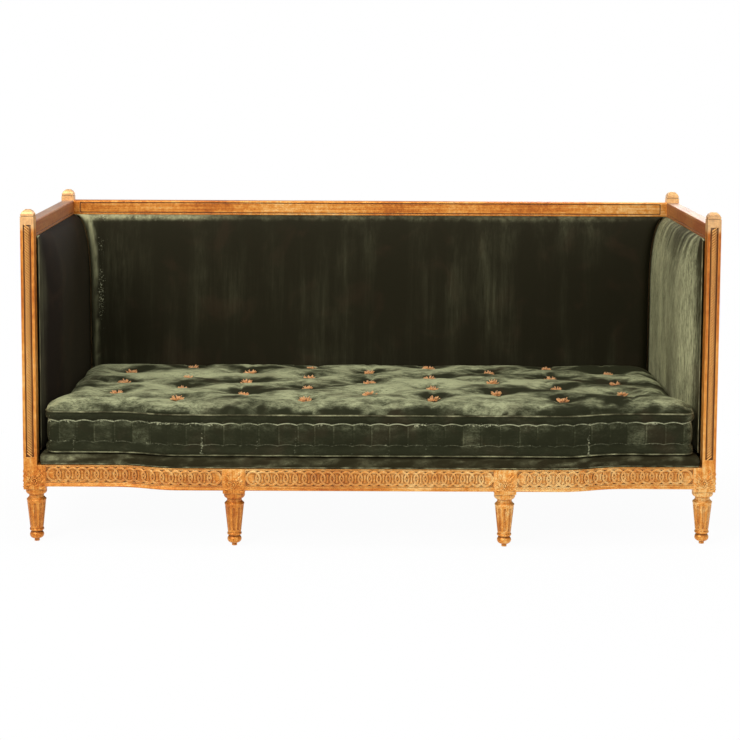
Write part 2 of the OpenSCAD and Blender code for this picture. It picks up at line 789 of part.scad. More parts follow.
module mattress_form() {
    edge = rim(mattress_nx, mattress_ny);
    n = mattress_nx + 1;
    grid = [for (j = [0 : mattress_ny], i = [0 : mattress_nx])
        let (y = mattress_y(i, j, edge_in), x = mattress_x(i, y, edge_in))
        [x, y, i == 0 || i == mattress_nx || j == 0 || j == mattress_ny
            ? seam_z + edge_rise : mattress_top(x, y)]];
    levels = [[0, seam_z - seam_drop], [waist_in, mattress_z + mattress_t * waist_share],
        [0, mattress_z + foot_rise], [foot_in, mattress_z]];
    soft_form(grid, mattress_nx, mattress_ny, [for (l = levels) [for (k = edge)
        let (i = k % n, j = floor(k / n), y = mattress_y(i, j, l[0]))
        [mattress_x(i, y, l[0]), y, l[1]]]],
        [0, (mattress_front + mattress_back) / 2, mattress_z]);
}

// Tufts: each ball of thread lies in the hollow that its stitch pulls down
module tuft_balls() {
    for (k = [-tuft_cols : tuft_cols], j = [0 : tuft_rows])
        if ((abs(k) + j) % 2 == 1) {
            x = k * tuft_dx;
            y = first_row + j * tuft_dy;
            z = mattress_top(x, y);
            rise_x = (mattress_top(x - sign(x) * tuft_dx / 4, y) - z) / (tuft_dx / 4);
            rise_y = (mattress_top(x, y + tuft_dy / 2) - z) / (tuft_dy / 2);
            tilt = atan(norm([rise_x, rise_y]));
            translate([x, y, z + (tuft_r + soft_gap) / cos(tilt)]) sphere(r = tuft_r, $fn = 24);
        }
}

// Colours as the photo shows them
module gilt() { color("#c98a3c") children(); }
module beech() { color("#c9a36b") children(); }
module velvet() { color("#3b3a26") children(); }
module jute() { color("#a98d5c") children(); }

// Sub-parts
module front_left_post() gilt() at_corner(false, false) corner_post(false);
module front_right_post() gilt() at_corner(true, false) corner_post(false);
module rear_left_post() gilt() at_corner(false, true) corner_post(true);
module rear_right_post() gilt() at_corner(true, true) corner_post(true);
module front_left_centre_leg() gilt()
    translate([-centre_leg_x, front_y - bow_d, 0]) centre_leg();
module front_right_centre_leg() gilt()
    translate([centre_leg_x, front_y - bow_d, 0]) centre_leg();
module rear_left_centre_leg() gilt()
    translate([-centre_leg_x, rear_y, 0]) mirror([0, 1, 0]) centre_leg();
module rear_right_centre_leg() gilt()
    translate([centre_leg_x, rear_y, 0]) mirror([0, 1, 0]) centre_leg();
module front_rail_left() gilt() front_rail(-die_in, -leg_side);
module front_rail_middle() gilt() front_rail(-(leg_side - die_s), leg_side - die_s);
module front_rail_right() gilt() front_rail(leg_side, die_in);
module left_seat_rail() gilt() mirror([1, 0, 0]) side_rail();
module right_seat_rail() gilt() side_rail();
module rear_rail_left() beech() rear_rail(-die_in, -leg_side);
module rear_rail_middle() beech() rear_rail(-(leg_side - die_s), leg_side - die_s);
module rear_rail_right() beech() rear_rail(leg_side, die_in);
module left_cross_rail() beech() mirror([1, 0, 0]) cross_rail();
module right_cross_rail() beech() cross_rail();
module crest_rail() gilt() in_back(top_rail_set, top_rail_z) top_rail(2 * open_w, false);
module left_arm_rail() gilt() mirror([1, 0, 0]) right_arm_rail();
module right_arm_rail() gilt() in_arm(top_rail_set, top_rail_z) top_rail(side_open, true);
module back_tacking_rail() beech() in_back(member_out, tack_z) tacking_rail(2 * open_w);
module left_arm_tacking_rail() beech() mirror([1, 0, 0]) right_arm_tacking_rail();
module right_arm_tacking_rail() beech() in_arm(member_out, tack_z) tacking_rail(side_open);

// Upright between a tacking rail and the rail over it, place away from the rail's start
module upright(place) {
    translate([place - upright_w / 2, 0, 0])
        cube([upright_w, tack_t, top_rail_z - tack_z - tack_h]);
}

module back_left_upright() beech()
    in_back(member_out, tack_z + tack_h) upright(open_w - upright_x);
module back_right_upright() beech()
    in_back(member_out, tack_z + tack_h) upright(open_w + upright_x);
module left_arm_upright() beech() mirror([1, 0, 0]) right_arm_upright();
module right_arm_upright() beech()
    in_arm(member_out, tack_z + tack_h) upright(side_open / 2);

module corner_blocks() beech() for (right = [false, true], rear = [false, true])
    at_corner(right, rear) corner_block();
module corner_block_screws() color("#8a8a86") for (right = [false, true], rear = [false, true])
    at_corner(right, rear) block_screw(0);

module seat_webbing_long() jute()
    translate([strap_end - half_w, side_y + strap_margin, seat_z])
        straps(seat_long_strap_count, 2 * (half_w - strap_end), side_open - 2 * strap_margin, 0);

module seat_webbing_cross() jute()
    translate([0, 0, seat_z + strap_t]) linear_extrude(height = strap_t) intersection() {
        translate([0, front_y]) behind_front(strap_end, frame_d - strap_end, half_w);
        for (i = [0 : seat_cross_strap_count - 1])
            translate([strap_margin - open_w + i * (2 * (open_w - strap_margin) - strap_w)
                / (seat_cross_strap_count - 1), front_y - bow_d])
                square([strap_w, frame_d + bow_d]);
    }

module back_webbing() jute()
    translate([-open_w, rear_y - member_in, tack_z]) rotate([90, 0, 0])
        panel_webbing(2 * open_w, top_rail_z - tack_z - soft_gap, back_up_strap_count,
            back_long_strap_count);
module left_arm_webbing() jute() mirror([1, 0, 0]) right_arm_webbing();
module right_arm_webbing() jute()
    translate([half_w - member_in, side_y + side_open, tack_z]) rotate([90, 0, -90])
        panel_webbing(side_open, top_rail_z - tack_z - soft_gap, arm_up_strap_count,
            arm_long_strap_count);

// Stuffed platform on the webbing, with a lip that rests on the front rail
module seat_deck() velvet() difference() {
    translate([0, 0, seat_z]) linear_extrude(height = deck_h) intersection() {
        translate([0, front_y])
            behind_front(rail_set + deck_set, frame_d - post_s, open_w - deck_gap);
        translate([-open_w, front_y - bow_d - over])
            square([2 * open_w, frame_d + bow_d + 2 * over]);
    }
    translate([0, 0, seat_z - over]) linear_extrude(height = 2 * strap_t + over)
        translate([0, front_y]) behind_front(strap_end - over, frame_d, half_w);
}

module back_pad() velvet()
    translate([-back_pad_half, rear_y - pad_back, pad_z]) rotate([90, 0, 0]) back_pad_form();
module left_arm_pad() velvet()
    translate([pad_back - half_w, arm_pad_y, pad_z]) rotate([90, 0, 90]) arm_pad_form();
module right_arm_pad() velvet() mirror([1, 0, 0]) left_arm_pad();

module outside_back_panel() velvet()
    translate([fit - open_w, rear_y - member_out, seat_z + fit])
        cube([2 * (open_w - fit), panel_t, top_rail_z - seat_z - 2 * fit]);
module left_outside_arm_panel() velvet()
    translate([panel_set - half_w, side_y + fit, seat_z + fit])
        cube([panel_t, side_open - 2 * fit, top_rail_z - seat_z - 2 * fit]);
module right_outside_arm_panel() velvet() mirror([1, 0, 0]) left_outside_arm_panel();

// Cloth tacked under the seat rails, cut out round the dies
module dust_cover() color("#1d1c1a")
    translate([0, 0, rail_z - dust_t]) linear_extrude(height = dust_t) difference() {
        translate([0, front_y]) behind_front(dust_set, frame_d - dust_set, half_w - dust_set);
        for (right = [false, true], rear = [false, true]) at_corner(right, rear)
            translate([-over, -over]) square(die_s + 2 * over);
        for (x = [-centre_leg_x, centre_leg_x]) {
            translate([x - die_s / 2 - over, front_y - bow_d - over])
                square(die_s + 2 * over);
            translate([x - die_s / 2 - over, rear_y - die_s - over])
                square(die_s + 2 * over);
        }
    }

module mattress() velvet() mattress_form();
module mattress_tufts() color("#b4652c") tuft_balls();

front_left_post();
front_right_post();
rear_left_post();
rear_right_post();
front_left_centre_leg();
front_right_centre_leg();
rear_left_centre_leg();
rear_right_centre_leg();
front_rail_left();
front_rail_middle();
front_rail_right();
left_seat_rail();
right_seat_rail();
rear_rail_left();
rear_rail_middle();
rear_rail_right();
left_cross_rail();
right_cross_rail();
crest_rail();
left_arm_rail();
right_arm_rail();
back_tacking_rail();
left_arm_tacking_rail();
right_arm_tacking_rail();
back_left_upright();
back_right_upright();
left_arm_upright();
right_arm_upright();
corner_blocks();
corner_block_screws();
seat_webbing_long();
seat_webbing_cross();
back_webbing();
left_arm_webbing();
right_arm_webbing();
seat_deck();
back_pad();
left_arm_pad();
right_arm_pad();
outside_back_panel();
left_outside_arm_panel();
right_outside_arm_panel();
dust_cover();
mattress();
mattress_tufts();
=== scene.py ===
"""Recamier: a giltwood box sofa with velvet pads and a tufted mattress, dressed on its frame."""
import random
from math import atan2, cos, exp, floor, hypot, pi, radians, sin, sqrt

import bmesh
import bpy
import numpy as np
from mathutils import Matrix, Vector, noise


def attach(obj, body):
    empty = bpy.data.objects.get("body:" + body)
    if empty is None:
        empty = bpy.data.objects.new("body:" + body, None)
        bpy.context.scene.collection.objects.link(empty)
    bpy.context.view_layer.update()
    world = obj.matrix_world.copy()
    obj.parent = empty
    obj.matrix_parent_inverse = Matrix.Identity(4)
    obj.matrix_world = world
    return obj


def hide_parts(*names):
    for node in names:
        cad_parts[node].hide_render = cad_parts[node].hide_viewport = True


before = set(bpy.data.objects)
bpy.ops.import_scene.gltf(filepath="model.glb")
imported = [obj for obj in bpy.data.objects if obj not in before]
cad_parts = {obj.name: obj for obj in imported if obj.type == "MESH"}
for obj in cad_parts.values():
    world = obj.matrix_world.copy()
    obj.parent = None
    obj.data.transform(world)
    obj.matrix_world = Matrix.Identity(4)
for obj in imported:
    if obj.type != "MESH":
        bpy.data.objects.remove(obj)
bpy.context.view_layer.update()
MM = 0.001
rng = random.Random(19)

# Sizes that the frame was built to, in millimetres
HALF_W = 1000.0
FRONT_Y, REAR_Y = -365.0, 405.0
POST, DIE = 39.0, 63.0
OPEN_W = HALF_W - POST
DIE_IN = HALF_W - DIE
LEG_H, SEAT_Z = 158.0, 230.0
BOW, BOW_R, BOW_FLAT, BOW_TURN, BOW_END = 40.0, 260.0, 540.0, 640.0, 740.0
RAIL_Z, RAIL_H, RAIL_SET = 176.0, 54.0, 2.0
CENTRE_LEG, STILE_TOP, COVER_IN = 390.0, 950.0, 6.4
ROPE_PITCH, ROPE_SLANT, ROPE_ENDS = 7.7, 40.0, 50.0
PAD_Z, PAD_H, PAD_CELL = 263.8, 626.9, 13.0
PAD_BACK, PAD_LAP = 37.0, 2.0
BACK_T, ARM_T, ARM_FRONT_T, ARM_ROLL = 53.0, 55.0, 6.0, 150.0
ARM_Y0, ARM_Y1 = -325.7, 365.7
PAD_TOP_ROLL, PAD_TOP_POWER, PAD_FOOT_ROLL = 250.0, 2.5, 16.0
# Steps in which the cloth settles over its stuffing
PLUMP_FRAMES = 20


# Front line at x, from the plane of the corner posts: level in the middle, then two arcs
def bow(x):
    a = abs(x)
    if a <= BOW_FLAT:
        return -BOW
    if a <= BOW_TURN:
        return BOW_R - BOW - sqrt(BOW_R ** 2 - (a - BOW_FLAT) ** 2)
    if a <= BOW_END:
        return sqrt(BOW_R ** 2 - (BOW_END - a) ** 2) - BOW_R
    return 0.0


# Rise of a rolled edge, from 0 at the edge to 1 at its length; a power of 2 is round
def roll(d, length, power=2.0):
    if d >= length:
        return 1.0
    return 0.0 if d <= 0 else (1 - (1 - d / length) ** power) ** (1 / power)


# Fullness of a pad under its top edge, and the half width of the back pad that this leaves
def pad_top(v):
    return roll(PAD_H - v, PAD_TOP_ROLL, PAD_TOP_POWER)


def back_half(v):
    return OPEN_W - ARM_T * pad_top(v) - 0.3


# Smooth rise of a value from 0 at low to 1 at high
def ease(value, low, high):
    t = min(1.0, max(0.0, (value - low) / (high - low)))
    return t * t * (3 - 2 * t)


# Thickness of an arm pad at y: thin at the front stile, then rolled back to its full depth
def arm_thick(y):
    return ARM_FRONT_T + (ARM_T - ARM_FRONT_T) * roll(y - ARM_Y0, ARM_ROLL, 1.3)


# Colour as a paint chart gives it, 0 to 255, turned into what the shader reads
def paint(red, green, blue):
    return (*[((c / 255 + 0.055) / 1.055) ** 2.4 for c in (red, green, blue)], 1.0)


class Flow:
    """A value in a finish. Arithmetic on it adds Math nodes."""

    def __init__(self, finish, socket):
        self.finish, self.socket = finish, socket

    def math(self, operation, other=0.0, turned=False):
        first, second = (other, self) if turned else (self, other)
        return self.finish.node("Math", {"operation": operation}, {0: first, 1: second})

    def __add__(self, other):
        return self.math("ADD", other)

    def __sub__(self, other):
        return self.math("SUBTRACT", other)

    def __rsub__(self, other):
        return self.math("SUBTRACT", other, turned=True)

    def __mul__(self, other):
        return self.math("MULTIPLY", other)

    __radd__, __rmul__ = __add__, __mul__

    def step(self, low, high):
        return self.finish.node("MapRange", {"interpolation_type": "SMOOTHSTEP"},
                                {"Value": self, "From Min": low, "From Max": high})

    # 1 within a narrow band round a value, falling to 0 over its width
    def band(self, middle, width):
        return 1.0 - (self - middle).math("ABSOLUTE").step(width * 0.4, width)


class Finish:
    """One material, or the world's light, built node by node."""

    def __init__(self, name, kind="materials"):
        self.owner = getattr(bpy.data, kind).new(name)
        self.owner.use_nodes = True
        self.tree = self.owner.node_tree
        self.tree.nodes.clear()

    def node(self, kind, settings=None, values=None, out=0):
        made = self.tree.nodes.new("ShaderNode" + kind)
        for key, value in (settings or {}).items():
            if key == "stops":
                ramp = made.color_ramp.elements
                while len(ramp) < len(value):
                    ramp.new(1.0)
                for stop, (place, colour) in zip(ramp, value):
                    stop.position, stop.color = place, colour
            else:
                setattr(made, key, value)
        for key, value in (values or {}).items():
            if isinstance(value, Flow):
                self.tree.links.new(value.socket, made.inputs[key])
            else:
                made.inputs[key].default_value = value
        return Flow(self, made.outputs[out]) if len(made.outputs) else None

    # Place on the piece, stretched by a scale
    def place(self, scale=(1.0, 1.0, 1.0)):
        at = self.node("TexCoord", out="Object")
        return self.node("Mapping", {"vector_type": "POINT"}, {"Vector": at, "Scale": scale})

    def axis(self, vector, name):
        return self.node("SeparateXYZ", {}, {"Vector": vector}, out=name)

    def attribute(self, name):
        return self.node("Attribute", {"attribute_name": name}, out="Fac")

    def noise(self, at, scale, detail=3.0, rough=0.55, warp=0.0):
        return self.node("TexNoise", {}, {"Vector": at, "Scale": scale, "Detail": detail,
                                          "Roughness": rough, "Distortion": warp})

    def mix(self, share, first, second):
        return self.node("Mix", {"data_type": "RGBA"}, {0: share, 6: first, 7: second}, out=2)

    def ramp(self, value, *stops):
        return self.node("ValToRGB", {"stops": stops}, {0: value})

    def bump(self, height, strength, depth, normal=None):
        values = {"Height": height, "Strength": strength, "Distance": depth}
        if normal:
            values["Normal"] = normal
        return self.node("Bump", {}, values)

    def surface(self, values):
        shader = self.node("BsdfPrincipled", {}, values)
        self.node("OutputMaterial", {}, {"Surface": shader})
        return self.owner


# Water gilding over red bole, with painted highlights on its edges and dark in its hollows from
# dirt and painted shade; grain runs one way. A rail over an arm pad keeps little more than bole on
# its inner face, painted dark as shade too, and has a painted grey reflection on top.
def giltwood(name, grain, rubbed=0.0, arm_rail=False, painted_highlight=1.0, dirt_and_shade_level=1.0, head_highlight=0.0,
             pale=0.0):
    gilt = Finish(name)
    at = gilt.place()
    broad = gilt.noise(at, 2.6, 2.0)
    mottle = gilt.noise(at, 55.0, 4.0, 0.6)
    speck = gilt.noise(at, 230.0, 4.0, 0.7)
    streak = gilt.noise(gilt.place(grain), 1.0, 4.0, 0.6)
    soft = gilt.node("Bevel", {"samples": 6}, {"Radius": 0.0011})
    true = gilt.node("NewGeometry", out="True Normal")
    turn = gilt.node("VectorMath", {"operation": "DOT_PRODUCT"}, {0: soft, 1: true}, out="Value")
    edge = (1.0 - turn).step(0.02, 0.26)
    # Hollows found by ambient occlusion, painted dark below as dirt and as shade together
    hollow = 1.0 - gilt.node("AmbientOcclusion", {"samples": 8, "only_local": True},
                             {"Distance": 0.012}, out="AO")
    dirt_and_shade = (hollow * 2.0 + (speck - 0.5) * 0.6).step(0.16, 0.86)
    tone = broad * 0.34 + mottle * 0.2 + speck * 0.22 + streak * 0.24
    gold = gilt.ramp(tone, (0.39, paint(156, 76, 14)), (0.46, paint(204, 116, 32)),
                     (0.52, paint(232, 154, 62)), (0.6, paint(255, 210, 134)))
    bole = (streak * 0.5 + speck * 0.5 + rubbed * 0.16).step(0.58, 0.7)
    if arm_rail:
        # Inner face of an arm rail: painted shade, dark red-brown like bole
        shaded_inner_face = 1.0 - gilt.axis(at, "X").math("ABSOLUTE").step(0.9630, 0.9634)
        bole = bole.math("MAXIMUM", shaded_inner_face * (0.84 + (mottle - 0.5) * 0.9))
    wear_and_shading = gilt.mix(bole * 0.85, gold, paint(122, 62, 30))
    # Painted highlight: pale gold along every edge, stronger where the finish asks for more
    lit = gilt.mix(edge * (0.5 + mottle * 0.9) * painted_highlight, wear_and_shading, paint(252, 208, 136))
    if arm_rail:
        # Top of an arm rail: painted grey reflection on its up-facing faces
        top = gilt.axis(true, "Z").step(0.9, 0.98)
        lit = gilt.mix(top * 0.62, lit, paint(176, 158, 146))
    # Painted highlight: the whole surface paler gold
    if pale:
        lit = gilt.mix(pale, lit, paint(250, 190, 104))
    if head_highlight:
        off_middle = gilt.axis(at, "X").math("ABSOLUTE") - (HALF_W - POST / 2) * MM
        behind = gilt.axis(at, "Y").step(-0.3600, -0.3590)
        up = gilt.axis(at, "Z")
        # Rope panel of a front post: painted shade, dark brown, between the pale crests laid over
        # it
        shaded_rope_panel = ((1.0 - off_middle.math("ABSOLUTE").step(0.0108, 0.0114)) * (1.0 - behind)
                * up.step(0.2530, 0.2540) * (1.0 - up.step(0.926, 0.927)))
        lit = gilt.mix(shaded_rope_panel * 0.6, lit, paint(112, 56, 12))
        # Heads of the posts: painted highlight, pale gold
        head = up.step(0.905, 0.925) * (mottle * 0.5 + 0.3) * head_highlight
        lit = gilt.mix(head, lit, paint(255, 224, 164))
    # Dirt and painted shade: dark brown in the hollows
    dark = gilt.mix(dirt_and_shade * 0.88 * dirt_and_shade_level, lit, paint(92, 42, 10))
    relief = mottle * 0.4 + speck * 0.5 + streak * 0.4
    return gilt.surface({
        "Base Color": dark,
        "Metallic": (0.5 - bole * 0.4) * (1.0 - dirt_and_shade * 0.6),
        "Roughness": 0.34 + mottle * 0.16 + bole * 0.16 + dirt_and_shade * 0.2,
        "Normal": gilt.bump(relief, 0.34, 0.0008, soft)})


# Silk velvet with its sheen and shade painted into its colour: dark where the pile stands upright
# or lies in shade, pale where it lies brushed and catches the light. Each piece carries that share,
# and how far its pile is crushed, painted as bright glints. A sewn one has a mattress's border too:
# pleats between two rows of stitches, counted along it by "pleat".
def velvet(name, brush, dark=(40, 36, 18), pale=(178, 176, 132), streaky=0.5, patchy=0.9,
           fleecy=1.2, sewn=False):
    cloth = Finish(name)
    sheen_and_shade, crush = cloth.attribute("pile"), cloth.attribute("crush")
    at = cloth.place()
    streak = cloth.noise(cloth.place(brush), 1.0, 5.0, 0.62, 0.25)
    patch = cloth.noise(at, 9.0, 3.0, 0.5, 0.6)
    fleck = cloth.noise(cloth.place([3.2 * s for s in brush]), 1.0, 5.0, 0.75, 0.5)
    fibre = cloth.noise(at, 1600.0, 2.0)
    spark = cloth.noise(at, 170.0, 4.0, 0.68)
    loose = (streak - 0.5) * 1.7 + (patch - 0.5) * patchy + (fleck - 0.5) * fleecy
    lap = lip_shading = 0.0
    if sewn:
        count, up = cloth.attribute("pleat"), cloth.axis(at, "Z")
        along = count.math("FRACT")
        rise = up - (along * pi).math("SINE") * 0.005
        field = rise.step(0.2955, 0.2975) * (1.0 - rise.step(0.3530, 0.3550))
        lap = field * (along.step(0.0, 0.16) - 1.0)
        ragged = (spark * 0.5 + patch * 0.5).step(0.4, 0.58)
        # Painted highlights along the two stitch rows, broken in places
        lip_shading = (rise.band(0.3562, 0.0018) * (0.2 + ragged * 0.8)
               + rise.band(0.2952, 0.0012) * ragged * 0.3)
        # Painted highlight on each pleat's flank, painted shade in its groove
        sheen_and_shade = sheen_and_shade + field * (along.band(0.09, 0.05) * ragged * 0.1 - along.band(0.0, 0.03) * 0.2)
    share = (sheen_and_shade + loose * (sheen_and_shade * streaky + 0.06)).step(0.0, 1.0)
    # Crushed pile painted as bright glint flecks
    glint_flecks = (spark + crush * 0.26).step(0.66, 0.86) * crush.step(0.02, 0.2)
    # Dark pile to its painted sheen, by that share
    colour = cloth.mix(share, paint(*dark), paint(*pale))
    warm = cloth.mix((patch - 0.5).step(0.0, 0.25) * 0.3, colour, paint(56, 40, 26))
    painted_highlight = cloth.mix((glint_flecks + lip_shading).math("MINIMUM", 1.0) * 0.8, warm, paint(190, 190, 150))
    relief = fibre * 0.5 + streak * 0.35 + fleck * 0.4 + lap * 2.5
    return cloth.surface({
        "Base Color": painted_highlight,
        "Roughness": 0.84 - share * 0.14,
        "Specular IOR Level": 0.1,
        "Sheen Weight": 0.05, "Sheen Roughness": 0.35, "Sheen Tint": paint(190, 180, 120),
        "Normal": cloth.bump(relief, 0.35, 0.0012 if sewn else 0.0009)})


# Beech under the covers, its grain along one axis
def bare_wood(name, grain):
    wood = Finish(name)
    along = wood.place(grain)
    ring = wood.noise(along, 1.0, 5.0, 0.6, 0.4)
    pore = wood.noise(along, 5.0, 3.0, 0.7)
    age = wood.noise(wood.place(), 6.0, 3.0)
    colour = wood.ramp(ring * 0.7 + age * 0.3, (0.34, paint(128, 88, 52)),
                       (0.5, paint(168, 124, 78)), (0.7, paint(196, 154, 104)))
    return wood.surface({
        "Base Color": wood.mix(pore.step(0.6, 0.75) * 0.5, colour, paint(92, 62, 36)),
        "Roughness": 0.62 + ring * 0.2,
        "Normal": wood.bump(ring + pore * 0.5, 0.25, 0.0006)})


# Plain woven cloth: two thread counts crossing, read from the piece's own place
def woven(name, across, down, pitch, base, thread):
    cloth = Finish(name)
    at = cloth.place()
    waves = [cloth.node("TexWave", {"wave_type": "BANDS", "bands_direction": axis,
                                    "wave_profile": "SIN"},
                        {"Vector": at, "Scale": 0.314 / pitch, "Distortion": 0.6,
                         "Detail": 1.0, "Detail Scale": 2.0}, out="Fac")
             for axis in (across, down)]
    weave = waves[0] * waves[1]
    stain = cloth.noise(at, 12.0, 3.0)
    colour = cloth.mix(weave * 0.7 + (stain - 0.5) * 0.6, base, thread)
    return cloth.surface({
        "Base Color": colour, "Roughness": 0.9 - weave * 0.05,
        "Normal": cloth.bump(weave, 0.5, 0.0005)})


# A new mesh object from a bmesh, smooth, in one finish
def keep(form, name, material, body="frame", smooth=True):
    mesh = bpy.data.meshes.new(name)
    if smooth:
        for face in form.faces:
            face.smooth = True
    form.to_mesh(mesh)
    form.free()
    piece = bpy.data.objects.new(name, mesh)
    bpy.context.scene.collection.objects.link(piece)
    piece.data.materials.append(material)
    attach(piece, body)
    return piece


# Turns a form's faces outwards
def turn_out(form):
    bmesh.ops.recalc_face_normals(form, faces=form.faces)


# A grid whose vertices go where point puts each column and row, in millimetres
def lay_grid(form, columns, rows, point):
    made = bmesh.ops.create_grid(form, x_segments=columns, y_segments=rows, size=0.5)["verts"]
    for v in made:
        v.co = Vector(point(round((v.co.x + 0.5) * columns), round((v.co.y + 0.5) * rows))) * MM
    return made


# Closed stuffed form. face and under give a point for shares s and t of the two sides, and each
# ring in between gives one for a place on the rim; all in millimetres.
def stuffed_form(nx, ny, face, rings, under):
    form = bmesh.new()
    bmesh.ops.create_grid(form, x_segments=nx, y_segments=ny, size=0.5)
    shares = {v: (min(1.0, max(0.0, v.co.x + 0.5)), min(1.0, max(0.0, v.co.y + 0.5)))
              for v in form.verts}
    rim = [e for e in form.edges if e.is_boundary]
    low = bmesh.ops.duplicate(form, geom=form.faces[:])
    low_shares = {low["vert_map"][v]: shares[v] for v in list(shares)}
    bmesh.ops.reverse_faces(form, faces=[g for g in low["geom"]
                                         if isinstance(g, bmesh.types.BMFace)])
    for v, (s, t) in shares.items():
        v.co = Vector(face(s, t)) * MM
    for ring in rings:
        before = {v: shares[v] for e in rim for v in e.verts}
        grown = bmesh.ops.extrude_edge_only(form, edges=rim)["geom"]
        rim = [g for g in grown if isinstance(g, bmesh.types.BMEdge)
               and all(v not in before for v in g.verts)]
        fresh = [g for g in grown if isinstance(g, bmesh.types.BMVert)]
        places = {v.co.to_tuple(7): s for v, s in before.items()}
        for v in fresh:
            shares[v] = places[v.co.to_tuple(7)]
        for v in fresh:
            v.co = Vector(ring(*shares[v])) * MM
    for v, (s, t) in low_shares.items():
        v.co = Vector(under(s, t)) * MM
    bmesh.ops.remove_doubles(form, verts=form.verts, dist=1e-6)
    turn_out(form)
    return form


# Places along a length: close together round each rolled edge, one cell apart between them
def places(length, cell, first, last):
    def edge(size):
        n = max(2, round(size * 1.4 / cell))
        return [size * (1 - cos(pi / 2 * i / n)) for i in range(n)]

    near, far = edge(first), [length - d for d in edge(last)]
    n = max(2, round((length - first - last) / cell))
    middle = [first + (length - first - last) * i / n for i in range(n + 1)]
    return near + middle + far[::-1]


# Squares the corner of a plan off to a round one: distances to the two edges in, and out
def rounded(dx, dy, r):
    if dx >= r or dy >= r:
        return dx, dy
    px, py = (r - dx) / r, (r - dy) / r
    return (r - r * px * sqrt(1 - py * py / 2), r - r * py * sqrt(1 - px * px / 2))


# The place at shares s and t of a form's two sides, from the places of its lines
def from_lists(xs, ys):
    return lambda s, t: (xs[round(s * (len(xs) - 1))], ys[round(t * (len(ys) - 1))])


# Slow wander of a surface, for stuffing that is never quite even
def wander(x, y, z, size, seed=0.0):
    return noise.noise(Vector((x / size + seed, y / size, z / size)))


# Painted sheen and shade, one number a vertex: 0 dark, as upright pile or pile in shade, 1 pale, as
# brushed pile catching the light; and how far the pile is crushed, which is painted as bright
# glints
def paint_sheen_and_shade(piece, sheen_and_shade, crush=lambda p: 0.0, **more):
    mesh = piece.data
    more["crush"] = crush
    for name, values in (("pile", [sheen_and_shade(v.co / MM, v.normal) for v in mesh.vertices]),
                         *((name, [rule(v.co / MM) for v in mesh.vertices])
                           for name, rule in more.items())):
        mesh.attributes.new(name, "FLOAT", "POINT").data.foreach_set("value", values)


# Cloth over its stuffing: pins hold, pressure fills, and no point goes further than the cap
def plump(piece, pins, pressure, cap, slack):
    scene, mesh = bpy.context.scene, piece.data
    rest = np.empty(len(mesh.vertices) * 3)
    mesh.vertices.foreach_get("co", rest)
    piece.vertex_groups.new(name="sewn").add(pins, 1.0, "REPLACE")
    cloth = piece.modifiers.new("stuffing", "CLOTH")
    held = cloth.settings
    held.vertex_group_mass = "sewn"
    held.mass = 0.3
    held.quality = 6
    held.use_pressure = True
    held.uniform_pressure_force = pressure
    held.shrink_min = -slack
    held.bending_stiffness = 0.4
    held.effector_weights.gravity = 0.0
    cloth.collision_settings.use_collision = False
    cloth.point_cache.frame_start, cloth.point_cache.frame_end = 1, PLUMP_FRAMES
    for step in range(1, PLUMP_FRAMES + 1):
        scene.frame_set(step)
    shown = piece.evaluated_get(bpy.context.evaluated_depsgraph_get())
    moved = np.empty(len(rest))
    shown.data.vertices.foreach_get("co", moved)
    shift = (moved - rest).reshape(-1, 3)
    reach = np.linalg.norm(shift, axis=1, keepdims=True)
    most = cap * MM
    shift *= np.where(reach > 1e-9, most * np.tanh(reach / most) / np.maximum(reach, 1e-9), 1.0)
    mesh.vertices.foreach_set("co", rest + shift.ravel())
    piece.modifiers.clear()
    piece.vertex_groups.clear()
    scene.frame_set(1)
    mesh.update()


# A pad stuffed over webbing, on a plane. Thick gives its rise at a place across and up it, spot
# turns such a place and a distance from the sofa's middle into a point, and flat says what stays
# sewn down.
def make_pad(name, cloth, lines, plane, thick, spot, flat, sheen_and_shade, crush=lambda p: 0.0):
    ups = places(PAD_H, PAD_CELL, PAD_FOOT_ROLL, PAD_TOP_ROLL)
    at = from_lists(lines, ups)

    def face(s, t):
        u, v = at(s, t)
        return spot(u, v, plane - PAD_LAP - thick(u, v))

    def under(s, t):
        return spot(*at(s, t), plane)

    form = stuffed_form(len(lines) - 1, len(ups) - 1, face, [], under)
    pad = keep(form, name + "_cover", cloth)
    plump(pad, [v.index for v in pad.data.vertices if flat(v.co)], 2.5, 3.0, 0.012)
    paint_sheen_and_shade(pad, sheen_and_shade, crush)
    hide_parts(name)


